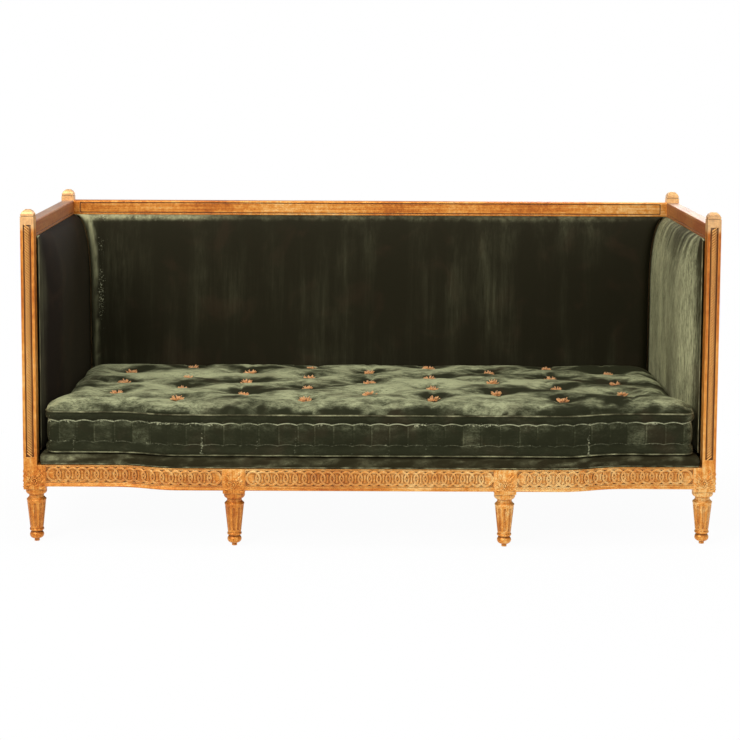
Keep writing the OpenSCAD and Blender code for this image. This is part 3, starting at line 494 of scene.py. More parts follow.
# Back pad: rolled edges, and faint hollows between its rows of stuffing
def make_back_pad(cloth):
    half, plane = OPEN_W - 0.3, REAR_Y - PAD_BACK

    def thick(u, v):
        rise = roll(v, PAD_FOOT_ROLL) * pad_top(v) * roll(u, 26) * roll(2 * half - u, 26)
        full = 1.0 + 0.035 * wander(u, 0, v, 210) + 0.02 * wander(u, 0, v * 0.3, 60, 5)
        return rise * min(BACK_T * 1.02, BACK_T * full - 1.5)

    # Painted sheen: pale in the left corner and under the crest near it, as highlights, and darker
    # towards the right end; crushed pile beside them painted as bright glints
    def sheen_and_shade(p, n):
        side = abs(p.x) / back_half(p.z - PAD_Z)
        ragged = 7 * wander(p.x, 0, p.z, 24, 9)
        corner_highlight = 0.5 * ease(-p.x + ragged, 872, 886) * ease(side, 0.955, 0.97)
        top = 0.42 * ease(p.z, 868, 884) * (0.35 + 0.65 * ease(-p.x, 400, 640))
        broad = 0.09 * wander(p.x, 0, p.z * 0.12, 60, 1) + 0.07 * wander(p.x, 0, p.z, 260, 4)
        return 0.04 + corner_highlight + top + broad - 0.1 * ease(p.x, 780, 880)

    def crush(p):
        beside = exp(-((p.x + 866) / 12) ** 2) * ease(p.z, 400, 560)
        top = 0.5 * ease(p.z, 862, 888) * ease(-p.x, 380, 620)
        return min(0.75, beside * (0.35 + 0.9 * wander(p.x, 0, p.z, 70, 6)) + top)

    make_pad("back_pad", cloth, places(2 * half, PAD_CELL, 26.0, 26.0), plane, thick,
             lambda u, v, y: ((u / half - 1) * back_half(v), y, PAD_Z + v),
             lambda co: co.y / MM > plane - PAD_LAP - 8, sheen_and_shade, crush)


# Arm pad: thin behind the front stile, full from a hand's breadth back
def make_arm_pad(side, cloth, sheen_and_shade):
    plane = HALF_W - PAD_BACK

    def thick(u, v):
        rise = roll(v, PAD_FOOT_ROLL) * pad_top(v) * roll(ARM_Y1 - ARM_Y0 - u, 8)
        full = 1.0 + 0.03 * wander(u, side, v, 190, 2)
        return rise * min(arm_thick(ARM_Y0 + u) * full - 0.8, ARM_T)

    make_pad(("right" if side > 0 else "left") + "_arm_pad", cloth,
             places(ARM_Y1 - ARM_Y0, PAD_CELL, 60.0, 8.0), plane, thick,
             lambda u, v, x: (side * x, ARM_Y0 + u, PAD_Z + v),
             lambda co: abs(co.x) / MM > plane - PAD_LAP - 7, sheen_and_shade)


# Stuffed seat deck under the mattress, its front lip rolled over the rail
def make_deck(cloth):
    half, back, low, high = 953.0, 366.0, 230.0, 263.5
    xs = places(2 * half, 20.0, 14.0, 14.0)
    ts = places(1.0, 0.03, 0.02, 0.02)
    at = from_lists(xs, ts)

    def plan(s, t, inset):
        u, share = at(s, t)
        x = u - half
        front = FRONT_Y + 3 + bow(x) + inset
        y = front + share * (back - inset - front)
        return max(inset - half, min(half - inset, x)), y

    def face(s, t):
        x, y = plan(s, t, 7.0)
        crown = min(1.0, (y - FRONT_Y - bow(x)) / 60.0)
        return x, y, high - 1.2 * (1 - crown) - 0.4

    def ring(inset, z):
        return lambda s, t: (*plan(s, t, inset), z)

    rings = [ring(2.6, high - 3.4), ring(0.6, high - 9), ring(0.0, high - 17),
             ring(0.5, low + 8), ring(1.8, low + 3.4), ring(3.4, low + 0.3)]

    def under(s, t):
        x, y = plan(s, t, 16.0)
        return x, y, low + 0.3

    form = stuffed_form(len(xs) - 1, len(ts) - 1, face, rings, under)
    deck = keep(form, "seat_deck_cover", cloth)
    # Painted sheen of the deck: dark, with random paler patches, and paler towards the left end
    paint_sheen_and_shade(deck, lambda p, n: 0.09 + 0.3 * wander(p.x * 0.6, p.y, p.z * 3, 26, 7)
             + 0.16 * ease(-p.x, 760, 880))
    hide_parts("seat_deck")


# Mattress sizes, in millimetres: seams, crown, and where its tufts are tied
BED_Z, SEAM_Z, CROWN, EDGE_RISE = 263.8, 385.0, 38.0, 5.0
BED_FRONT, BED_BACK, BED_HALF, BED_FLARE = -360.0, 295.0, 902.5, 938.0
BED_CORNER, EDGE_ROLL, DIMPLE, PLEAT = 34.0, 84.0, 16.0, 53.0
TUFT_DX, TUFT_DY, ROW_0, ROW_6, TUFT_END = 187.0, 86.0, -300.0, 216.0, 748.0
TUFTS = [(k * TUFT_DX, ROW_0 + j * TUFT_DY) for j in range(7) for k in range(-4, 5)
         if (abs(k) + j) % 2]


# How far the tufts draw the cloth in: 1 at each tuft, 0 at the crests between them and outside
def hollow(x, y):
    ring = 1 - cos(pi * x / TUFT_DX) * cos(pi * (y - ROW_0) / TUFT_DY)
    return ((ring / 2) ** 2.2 * ease(y, ROW_0 - 62, ROW_0 - 14)
            * ease(ROW_6 + 62 - y, 0, 48) * ease(TUFT_END + 90 - abs(x), 0, 40))


# Dimples, the folds between them and the puckers that run out from each tuft
def bed_relief(x, y):
    fold = 2.4 * wander(x * 0.5, y, 0, 52, 14) + 1.6 * wander(x, y * 0.6, 0, 30, 9)
    pucker = 0.0
    for tx, ty in TUFTS:
        dx, dy = x - tx, y - ty
        reach = hypot(dx, dy)
        if reach < 90:
            turn = atan2(dy, dx) * 8 + tx
            pucker += 1.5 * sin(turn) * exp(-reach / 30) * min(1.0, reach / 12)
    return fold + pucker - DIMPLE * hollow(x, y) * (1 + 0.3 * wander(x, y, 0, 170, 21))


# Half width of the mattress at y, held off the arm pads, and its front line at x
def bed_half(y):
    return min(BED_FLARE, OPEN_W - arm_thick(y) - 3.5)


def bed_edge(x):
    return BED_FRONT + bow(x)


# Height of the mattress's crown
def bed_top(x, y):
    rise = (roll(bed_half(y) - abs(x), EDGE_ROLL) * roll(y - bed_edge(x), EDGE_ROLL)
            * roll(BED_BACK - y, EDGE_ROLL))
    return SEAM_Z + EDGE_RISE + rise * (CROWN - EDGE_RISE + bed_relief(x, y))


# Plan of the mattress for shares s and t, its corners round and its rim drawn in by the inset
def bed_plan(s, t, inset):
    x = (2 * s - 1) * BED_HALF
    y = bed_edge(x) + t * (BED_BACK - bed_edge(x))
    half = bed_half(y)
    x *= 1 + (half / BED_HALF - 1) * ease(abs(x), 560, BED_HALF)
    dx, dy = half - abs(x), min(y - bed_edge(x), BED_BACK - y)
    corner_x, corner_y = rounded(max(0.0, dx), max(0.0, dy), BED_CORNER)
    side = 1 if x > 0 else -1
    fore = 1 if y - bed_edge(x) < BED_BACK - y else -1
    edge = bed_edge(x) if fore > 0 else BED_BACK
    x, y = side * (half - corner_x), edge + fore * corner_y
    near_x, near_y = exp(-corner_x / 14), exp(-corner_y / 14)
    draw = inset / max(1.0, hypot(near_x, near_y))
    return x - side * draw * near_x, y + fore * draw * near_y


# Steps round the border, in pleats, from the left front corner
def pleats(x, y):
    side = 1 if x > 0 else -1
    return (x + side * max(0.0, y - bed_edge(x) - 12)) / PLEAT + 0.16 * wander(x, y, 0, 95, 11)


# Border of the mattress from its top seam down: inset, height, and how much its pleats show there
BORDER = ((3.6, 389.6, 0.0, 0.0), (0.8, 386.8, 0.0, 0.0), (1.0, 383.4, 0.0, 0.0),
          (-1.6, 378.6, 0.0, 0.3), (-2.4, 372.4, 0.1, 0.6), (-0.8, 366.0, 0.3, 1.0),
          (3.8, 360.4, 0.6, 1.0), (7.6, 357.4, 0.8, 1.0), (5.0, 353.4, 1.0, 0.9),
          (2.6, 346.0, 1.0, 0.5), (1.4, 337.0, 1.0, 0.2), (1.2, 327.0, 1.0, 0.0),
          (1.6, 317.0, 1.0, -0.2), (3.2, 307.6, 1.0, -0.5), (5.8, 301.4, 1.0, -0.8),
          (7.8, 297.6, 0.8, -0.9), (4.2, 293.6, 0.5, -0.9), (0.4, 288.0, 0.3, -0.6),
          (-1.6, 281.4, 0.1, -0.3), (-0.8, 274.4, 0.0, 0.0), (2.0, 269.8, 0.0, 0.0),
          (4.4, 268.4, 0.0, 0.0), (5.6, 265.6, 0.0, 0.0))


def make_mattress(cloth):
    def face(s, t):
        x, y = bed_plan(s, t, 6.0)
        z = bed_top(x, y)
        return x, y, z - 2.5 * (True) * roll(z - SEAM_Z - EDGE_RISE, 20)

    def ring(inset, z, fold, scallop):
        def at(s, t):
            x0, y0 = bed_plan(s, t, 0.0)
            count = pleats(x0, y0)
            run = count - floor(count)
            swell = (0.5 - sin(pi * run)) * (2.6 + sin(floor(count))) * fold
            lift = sin(pi * run) * 5.0 * scallop
            slump = 1.4 * wander(x0, y0, z, 130, 4)
            return (*bed_plan(s, t, inset + swell + slump), z + lift)
        return at

    def under(s, t):
        x, y = bed_plan(s, t, 9.0)
        return x, y, BED_Z

    form = stuffed_form(236, 80, face, [ring(*row) for row in BORDER], under)
    bed = keep(form, "mattress_cover", cloth, body="mattress")
    points = [v.co / MM for v in bed.data.vertices]
    tied = [i for i, p in enumerate(points) if p.z < SEAM_Z + 4.4
            or any(hypot(p.x - x, p.y - y) < 7.0 for x, y in TUFTS)]
    plump(bed, tied, 2.4, 5.0, 0.03)

    # Painted sheen and shade: pale where the pile is brushed back and catches the light, dark on
    # the far walls of the dimples, which look forward
    def sheen_and_shade(p, n):
        if p.z > SEAM_Z + 2 and n.z > 0.3:
            steep = (bed_relief(p.x, p.y + 5) - bed_relief(p.x, p.y - 5)) / 10
            # Painted shade on the far walls of the dimples
            dark = 0.9 * max(0.0, steep) * (1 + 0.9 * wander(p.x, p.y, 0, 140, 31))
            painted_sheen = 0.58 + 0.76 * wander(p.x * 0.5, p.y, 0, 120, 8) + 0.5 * max(0.0, -steep)
            # Painted light across the top: paler towards the left, darker towards the right
            across = 0.1 * ease(-p.x, 400, 800) - 0.3 * ease(p.x, 300, 800)
            # Painted shade along the front edge
            lip_shading = 0.3 * ease(bed_edge(p.x) + 26 - p.y, 0, 22)
            # Painted shade just behind each tuft
            tied = 0.35 * max(exp(-(((p.x - x) / 30) ** 2 + ((p.y - y - 14) / 24) ** 2))
                              for x, y in TUFTS)
            loose = (0.45 * wander(p.x * 0.5, p.y, 0, 34, 2)
                     + 0.3 * wander(p.x * 0.6, p.y, 0, 15, 5))
            front = 0.4 * ease(ROW_0 - 14 - p.y, 0, 40)
            laid = painted_sheen + across - dark - tied + loose
            return laid + (0.46 + 0.4 * loose - laid) * front - lip_shading
        # Border, painted sheen: a random few pleats paler between the stitch rows, a painted
        # highlight below the upper stitch row, and paler at the right end
        wear_and_shading = wander(floor(pleats(p.x, p.y)) * 9, 0, 0, 10, 12)
        panel = (0.7 * max(0.0, wear_and_shading - 0.2) * ease(-p.z, -352, -330)
                 * ease(p.z, 290, 296))
        seam = 0.26 * exp(-((p.z - 352) / 7) ** 2) * (0.5 + wander(p.x, p.y, 0, 40, 13))
        return (0.05 + 0.07 * wander(p.x, p.y, p.z * 2, 46, 6) + 0.2 * ease(p.x, 895, 930)
                + panel + seam)

    # Crushed pile painted as bright glints: at the stitches, at a few pleats and at the front
    # corners
    def crush(p):
        if p.z > SEAM_Z + 2:
            return 0.0
        count = pleats(p.x, p.y)
        chosen = max(0.0, wander(floor(count + 0.3) * 7, 0, 0, 10, 3)) * 2.2
        near = abs(count + 0.06 - round(count + 0.06)) * PLEAT
        fold = chosen * exp(-((near / 4) ** 2)) * ease(-p.z, -352, -312)
        rows = max(a * exp(-((p.z - seam) / 3.5) ** 2)
                   for seam, a in ((359.0, 1.0), (299.0, 0.5), (270.0, 0.4)))
        corner_highlight = ease(abs(p.x), 908, 928) * 0.4
        return min(1.0, fold + rows * (0.5 + wander(p.x, p.y, 0, 60, 6)) + corner_highlight)

    paint_sheen_and_shade(bed, sheen_and_shade, crush, pleat=lambda p: pleats(p.x, p.y))
    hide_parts("mattress")


# Round welt along runs of points in millimetres, made a mesh
def cord(name, runs, radius, cloth, body, sheen_and_shade, closed=False):
    curve = bpy.data.curves.new(name, "CURVE")
    curve.dimensions, curve.bevel_depth, curve.bevel_resolution = "3D", radius * MM, 2
    curve.use_fill_caps = not closed
    for run in runs:
        line = curve.splines.new("POLY")
        line.points.add(len(run) - 1)
        for point, place in zip(line.points, run):
            point.co = (*[c * MM for c in place], 1.0)
        line.use_cyclic_u = closed
    shaped = bpy.data.objects.new(name, curve)
    bpy.context.scene.collection.objects.link(shaped)
    mesh = bpy.data.meshes.new_from_object(
        shaped.evaluated_get(bpy.context.evaluated_depsgraph_get()))
    bpy.data.objects.remove(shaped)
    form = bmesh.new()
    form.from_mesh(mesh)
    bpy.data.meshes.remove(mesh)
    turn_out(form)
    piece = keep(form, name, cloth, body=body)
    # Painted sheen of a welt: the share given, wandering a little
    paint_sheen_and_shade(piece, lambda p, n: sheen_and_shade + 0.3 * wander(p.x, p.y, p.z, 22, 5))


# Welts sewn into the mattress's two seams, all the way round
def make_mattress_welts(cloth):
    def loop(inset, z):
        n, m = 150, 52
        rim = ([(i / n, 0) for i in range(n)] + [(1, i / m) for i in range(m)]
               + [(1 - i / n, 1) for i in range(n)] + [(0, 1 - i / m) for i in range(m)])
        return [(*bed_plan(s, t, inset), z + 0.7 * wander(s * 900, t * 400, z, 40, 3))
                for s, t in rim]
    for name, inset, z in (("upper", -0.2, 386.0), ("lower", 1.4, 268.4)):
        cord(f"mattress_{name}_welt", [loop(inset, z)], 2.1, cloth, "mattress", 0.34, True)


# Flat welts along the pads' top edges, down the arms' front edges and along the deck's foot
def make_pad_welts(back, left, right, deck):
    top = PAD_Z + PAD_H - 3.2
    reach = OPEN_W - 4.0
    line = np.linspace(-reach, reach, 90)
    cord("back_pad_welt", [[(x, REAR_Y - PAD_BACK - 3.4, top) for x in line]], 2.9, back, "frame",
         0.34)
    for side, cloth, name in ((-1, left, "left"), (1, right, "right")):
        x = side * (HALF_W - PAD_BACK - 3.6)
        cord(f"{name}_arm_pad_welt", [[(x, y, top) for y in np.linspace(ARM_Y0 + 3, 362, 40)]],
             3.1, cloth, "frame", 0.62)
        edge = side * (OPEN_W - ARM_FRONT_T - 0.4)
        cord(f"{name}_arm_front_welt", [[(edge, ARM_Y0 + 2.2, z)
                                         for z in np.linspace(PAD_Z + 2, top - 4, 50)]],
             1.5, cloth, "frame", 0.42)
    cord("seat_deck_welt", [[(x, FRONT_Y + 4.4 + bow(x), SEAT_Z + 3.4)
                             for x in np.linspace(-950, 950, 260)]], 1.9, deck, "frame", 0.3)


# Threads of one tuft, and the turn from each to the next
THREADS, GOLDEN_TURN = 46, 2.39996


# Tufts of cut thread, tied through the mattress and spread in their hollows
def make_tufts(thread):
    form = bmesh.new()
    for x, y in TUFTS:
        z = bed_top(x, y) - 0.5
        spread = rng.uniform(0.85, 1.15)
        flop = Vector((rng.uniform(-0.25, 0.25), rng.uniform(-0.1, 0.1), 0))
        for i in range(THREADS):
            turn = i * GOLDEN_TURN + rng.uniform(-0.4, 0.4)
            lean = radians(rng.uniform(14, 58))
            long = rng.uniform(12.0, 21.0) * spread * (0.72 + 0.28 * cos(lean))
            aim = (Vector((cos(turn) * cos(lean) * 1.15, sin(turn) * cos(lean),
                           sin(lean))) + flop).normalized()
            root = Vector((x, y, z)) + aim * 1.5
            place = (Matrix.Translation((root + aim * long / 2) * MM)
                     @ aim.to_track_quat("Z", "Y").to_matrix().to_4x4())
            bmesh.ops.create_cone(form, cap_ends=True, segments=5, radius1=1.0 * MM,
                                  radius2=1.15 * MM, depth=long * MM, matrix=place)
        bmesh.ops.create_icosphere(form, subdivisions=1, radius=3.2 * MM,
                                   matrix=Matrix.Translation((x * MM, y * MM, (z + 1) * MM)))
    piece = keep(form, "thread_tufts", thread, body="mattress")
    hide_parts("mattress_tufts")


# Cloth stretched over the outside of the back or an arm, with a welt let in round its edge
def make_outside(name, node, span, place, cloth):
    (a0, a1), (z0, z1) = span
    form = bmesh.new()
    nx, nz = round((a1 - a0) / 16), round((z1 - z0) / 16)

    def crowned(column, row):
        a, z = a0 + column / nx * (a1 - a0), z0 + row / nz * (z1 - z0)
        crown = 2.2 * (roll(a - a0, 120) * roll(a1 - a, 120) * roll(z - z0, 120)
                       * roll(z1 - z, 120)) + 0.5 * wander(a, 0, z, 160, 6)
        return place(a, z, crown)

    lay_grid(form, nx, nz, crowned)
    turn_out(form)
    outward = Vector(place(0, 0, 1)) - Vector(place(0, 0, 0))
    form.faces.ensure_lookup_table()
    if form.faces[0].normal.dot(outward) < 0:
        bmesh.ops.reverse_faces(form, faces=form.faces)
    panel = keep(form, name, cloth)
    paint_sheen_and_shade(panel, lambda p, n: 0.12 + 0.12 * wander(p.x, p.y, p.z * 0.2, 60, 4))
    back = panel.modifiers.new("cloth_thickness", "SOLIDIFY")
    back.thickness, back.offset = 2.2 * MM, -1.0
    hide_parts(node)
    near, far, foot, head = a0 + 3, a1 - 3, z0 + 3, z1 - 3
    edge = ([(a, foot) for a in np.linspace(near, far, 40)]
            + [(far, z) for z in np.linspace(foot, head, 16)[1:]]
            + [(a, head) for a in np.linspace(far, near, 40)[1:]]
            + [(near, z) for z in np.linspace(head, foot, 16)[1:-1]])
    cord(name + "_welt", [[place(a, z, 0.2) for a, z in edge]], 2.9, cloth, "frame", 0.3, True)


# The guilloche: its middle height, the pitch of its rings, the clear end of a field, how far a
# ring rises and dips where it crosses the next, and how many sides it has
CARVED_Z, RING_PITCH, RING_END, RING_WEAVE, SIDES = RAIL_Z + RAIL_H / 2, 26.0, 24.5, 0.8, 24
# A ring's radii, each with how proud it stands, and the heights up the bar in its eye
RING = ((15.4, -1.8), (17.0, 1.0), (18.5, -0.1), (20.0, 1.0), (21.7, -1.4))
BAR = (-11.5, -9.5, -5.0, 0.0, 5.0, 9.5, 11.5)


# Carved rings that pass over and under each other along one field of a rail. Face turns a place
# along the field, a height and a depth off its surface into a point.
def add_rings(form, low, high, face):
    run = high - low - 2 * RING_END
    count = floor(run / RING_PITCH)
    for i in range(count + 1):
        centre = (low + high - run) / 2 + i * run / count

        def round_ring(column, row):
            turn = 2 * pi * column / SIDES
            radius, proud = RING[row]
            return face(centre + radius * cos(turn), CARVED_Z + radius * sin(turn),
                        proud + RING_WEAVE * sin(2 * turn))

        def up_bar(column, row):
            wide = 1.5 + 1.6 * (BAR[row] / BAR[-1]) ** 4
            across, out = ((-wide - 0.6, -2.5), (-wide, 1.2), (wide, 1.2),
                           (wide + 0.6, -2.5))[column]
            return face(centre + across, CARVED_Z + BAR[row], out)

        ring = lay_grid(form, SIDES, len(RING) - 1, round_ring)
        bmesh.ops.remove_doubles(form, verts=ring, dist=1e-6)
        lay_grid(form, 3, len(BAR) - 1, up_bar)
        if i < count:
            add_leaf(form, face, centre + run / count / 2, CARVED_Z, 7, 5, 2.4, 90)


# Leaf, bud or boss in relief on a face: half an ellipsoid, long one way
def add_leaf(form, face, u, v, long, wide, proud, turn=0.0, bend=0.0):
    made = bmesh.ops.create_icosphere(form, subdivisions=2, radius=1.0)["verts"]
    c, s = cos(radians(turn)), sin(radians(turn))
    for vert in made:
        a, b, d = vert.co
        narrow = 1.0 - 0.55 * max(0.0, a)
        p, q = a * long / 2, b * wide / 2 * narrow + bend * a * a
        ridge = proud * d * (1.0 - 0.25 * exp(-(b * 3) ** 2))
        vert.co = Vector(face(u + p * c - q * s, v + p * s + q * c, ridge)) * MM


# Leaves on one side of a die: place across and up, length, width and turn
SPRAY = ((14, 58, 13, 6.5, 62), (21, 51, 15, 6.5, 48), (14, 44, 14, 6, 66), (22, 37, 15, 7, 40),
         (17, 28, 13, 6, 70), (24, 24, 13, 6, 28), (9, 14, 14, 5.5, 20), (19, 13, 15, 5.5, -8),
         (24, 7, 13, 5, 12))
BOSS_UP, PETAL_R = 26, 7.6


# Ornament of a die: a boss in a wreath of petals, with a spray of leaves on either side
def add_die_ornament(form, face):
    add_leaf(form, face, 0, LEG_H + BOSS_UP, 8, 8, 4.2)
    for k in range(8):
        turn = radians(45 * k + 22.5)
        add_leaf(form, face, PETAL_R * cos(turn), LEG_H + BOSS_UP + PETAL_R * sin(turn),
                 8.0, 6.4, 3.4, 45 * k + 22.5)
    for turn in (30, 60, 90, 120, 150):
        c, s = cos(radians(turn)), sin(radians(turn))
        add_leaf(form, face, 15.5 * c, LEG_H + 27 + 13.5 * s, 9.0, 6.0, 3.0, turn)
    for side in (-1, 1):
        for u, v, long, wide, turn in SPRAY:
            add_leaf(form, face, side * u, LEG_H + v, long * 1.25, wide * 1.25, 3.8,
                     turn if side > 0 else 180 - turn, 1.2 * side)


# Crests of the rope strands on the two front posts, which slant opposite ways, in a gilt painted
# pale as highlight
def make_rope_crests(gilt):
    form = bmesh.new()
    count = floor((STILE_TOP - SEAT_Z - ROPE_ENDS) / ROPE_PITCH)
    for side in (-1, 1):
        x = side * (HALF_W - POST / 2)
        for i in range(count):
            z = (STILE_TOP + SEAT_Z) / 2 + (i - (count - 1) / 2) * ROPE_PITCH
            add_leaf(form, lambda u, v, out: (x + u, FRONT_Y - out, v), 0, z, 23, 3.9, 2.0,
                     side * ROPE_SLANT)
    turn_out(form)
    keep(form, "rope_crests", gilt)


# The front rail's three lengths between the dies, from left to right
FRONT_FIELDS = ((-DIE_IN, -CENTRE_LEG - DIE / 2), (-CENTRE_LEG + DIE / 2, CENTRE_LEG - DIE / 2),
                (CENTRE_LEG + DIE / 2, DIE_IN))
# Section of the bead under a rail: how deep and how high
BEAD = ((14.0, 1.0), (-0.4, 1.0), (-1.0, -1.2), (-0.4, -2.6), (-1.8, -4.4), (-2.0, -6.6),
        (-0.8, -8.8), (1.2, -9.8), (14.0, -9.8))


# Carving over the frame's plainer relief: guilloche on the rails, ornament on the dies
def make_carving(gilt):
    def front(x, z, out):
        return x, FRONT_Y + RAIL_SET + bow(x) - out, z

    rings = bmesh.new()
    for low, high in FRONT_FIELDS:
        add_rings(rings, low, high, front)
    for side in (-1, 1):
        add_rings(rings, FRONT_Y + DIE, REAR_Y - DIE,
                  lambda y, z, out: (side * (HALF_W - RAIL_SET + out), y, z))
    turn_out(rings)
    keep(rings, "guilloche_rings", gilt)
    ornament = bmesh.new()
    for x, y in ((HALF_W - DIE / 2, FRONT_Y), (CENTRE_LEG, FRONT_Y - BOW)):
        for side in (-1, 1):
            add_die_ornament(ornament, lambda u, v, out: (side * x + u, y - out, v))
    for side in (-1, 1):
        for y in (FRONT_Y + DIE / 2, REAR_Y - DIE / 2):
            add_die_ornament(ornament, lambda u, v, out: (side * (HALF_W + out), y + u, v))
    keep(ornament, "die_ornament", gilt)


# Bead along the foot of each rail, between the dies
def make_rail_beads(front_gilt, side_gilt):
    def sweep(form, stops, point):
        start = form.faces.new([form.verts.new((stops[0], deep, RAIL_Z + up)) for deep, up in BEAD])
        line, rim = start.verts[:], start.edges[:]
        for stop in stops[1:]:
            grown = bmesh.ops.extrude_edge_only(form, edges=rim)["geom"]
            fresh = [g for g in grown if isinstance(g, bmesh.types.BMVert)]
            rim = [g for g in grown if isinstance(g, bmesh.types.BMEdge)
                   and all(v in fresh for v in g.verts)]
            for v in fresh:
                v.co.x = stop
            line += fresh
        bmesh.ops.edgeloop_fill(form, edges=rim)
        for v in line:
            v.co = Vector(point(*v.co)) * MM

    front, sides = bmesh.new(), bmesh.new()
    for low, high in FRONT_FIELDS:
        sweep(front, np.linspace(low, high, 60),
              lambda x, deep, z: (x, FRONT_Y + RAIL_SET + bow(x) + deep, z))
    for side in (-1, 1):
        sweep(sides, (FRONT_Y + DIE, REAR_Y - DIE),
              lambda y, deep, z: (side * (HALF_W - RAIL_SET - deep), y, z))
    for form, name, gilt in ((front, "front_rail_bead", front_gilt),
                             (sides, "side_rail_bead", side_gilt)):
        turn_out(form)
        keep(form, name, gilt, smooth=False)


# Floor, seen as plain white and still holding the object's shadow, under a world seen as plain
# white
def make_stage():
    form = bmesh.new()
    bmesh.ops.create_grid(form, x_segments=1, y_segments=1, size=40.0)
    mesh = bpy.data.meshes.new("studio_floor")
    form.to_mesh(mesh)
    form.free()
    ground = bpy.data.objects.new("studio_floor", mesh)
    bpy.context.scene.collection.objects.link(ground)
    pale = Finish("floor_white")
    matt = pale.node("BsdfPrincipled", {}, {
        "Base Color": pale.ramp(pale.noise(pale.place(), 1.5, 2.0), (0.0, (0.82, 0.82, 0.81, 1)),
                                (1.0, (0.85, 0.85, 0.84, 1))), "Roughness": 0.9})
    glow = pale.node("Emission", {}, {"Color": (1, 1, 1, 1), "Strength": 1.0})
    seen, shiny, through = [pale.node("LightPath", out=name) for name in
                            ("Is Camera Ray", "Is Glossy Ray", "Is Transmission Ray")]
    seen = seen.math("MAXIMUM", shiny.math("MAXIMUM", through))
    far = pale.node("VectorMath", {"operation": "LENGTH"}, {0: pale.place()}, out="Value")
    shader = pale.node("MixShader", {}, {0: seen * (0.965 + 0.035 * far.step(1.0, 1.8)),
                                         1: matt, 2: glow})
    pale.node("OutputMaterial", {}, {"Surface": shader})
    mesh.materials.append(pale.owner)
    studio = Finish("studio", "worlds")
    soft = studio.node("Background", {}, {"Color": (0.86, 0.9, 1.0, 1), "Strength": 0.42})
    white = studio.node("Background", {}, {"Color": (1, 1, 1, 1), "Strength": 1.0})
    seen, through = [studio.node("LightPath", out=name) for name in
                     ("Is Camera Ray", "Is Transmission Ray")]
    shader = studio.node("MixShader", {}, {0: seen.math("MAXIMUM", through), 1: soft, 2: white})
    studio.node("OutputWorld", {}, {"Surface": shader})
    bpy.context.scene.world = studio.owner


# Soft lamp at a place, turned to its aim
def lamp(name, place, aim, size, power):
    light = bpy.data.lights.new(name, "AREA")
    light.shape, light.size, light.size_y = "RECTANGLE", size[0], size[1]
    light.energy = power
    shown = bpy.data.objects.new(name, light)
    shown.location = place
    shown.rotation_mode = "QUATERNION"
    shown.rotation_quaternion = (Vector(aim) - Vector(place)).to_track_quat("-Z", "Y")
    bpy.context.scene.collection.objects.link(shown)


# Camera at the photograph's place and angle
def make_camera():
    eye = bpy.data.cameras.new("photo_camera")
    eye.lens, eye.sensor_width = 90.9, 36.0
    eye.shift_x, eye.shift_y = 0.0054, -0.185
    eye.clip_end = 60.0
    shown = bpy.data.objects.new("photo_camera", eye)
    tilt = radians(90 - 5.81)
    roll_turn = Matrix.Rotation(radians(0.25), 3, "Z")
    shown.rotation_mode = "QUATERNION"
    shown.rotation_quaternion = (Matrix.Rotation(tilt, 3, "X") @ roll_turn).to_quaternion()
    shown.location = (-0.0133, -5.665, 1.447)
    bpy.context.scene.collection.objects.link(shown)
    bpy.context.scene.camera = shown


# Cut thread of the tufts
def thread_finish():
    thread = Finish("tuft_thread")
    at = thread.place()
    shade = thread.noise(at, 260.0, 3.0)
    ply = thread.noise(thread.place((900, 900, 300)), 1.0, 2.0)
    return thread.surface({
        "Base Color": thread.ramp(shade * 0.7 + ply * 0.3, (0.35, paint(164, 96, 44)),
                                  (0.48, paint(208, 142, 80)), (0.62, paint(238, 188, 124))),
        "Roughness": 0.55 + ply * 0.2, "Sheen Weight": 0.3, "Sheen Roughness": 0.4,
        "Normal": thread.bump(ply, 0.4, 0.0004)})


# Screws of the corner blocks
def steel_finish():
    steel = Finish("screw_steel")
    tone = steel.noise(steel.place(), 300.0, 3.0)
    return steel.surface({
        "Base Color": steel.mix(tone, paint(110, 110, 106), paint(150, 148, 142)),
        "Metallic": 0.9 - tone * 0.1, "Roughness": 0.35 + tone * 0.25,
        "Normal": steel.bump(tone, 0.2, 0.0002)})


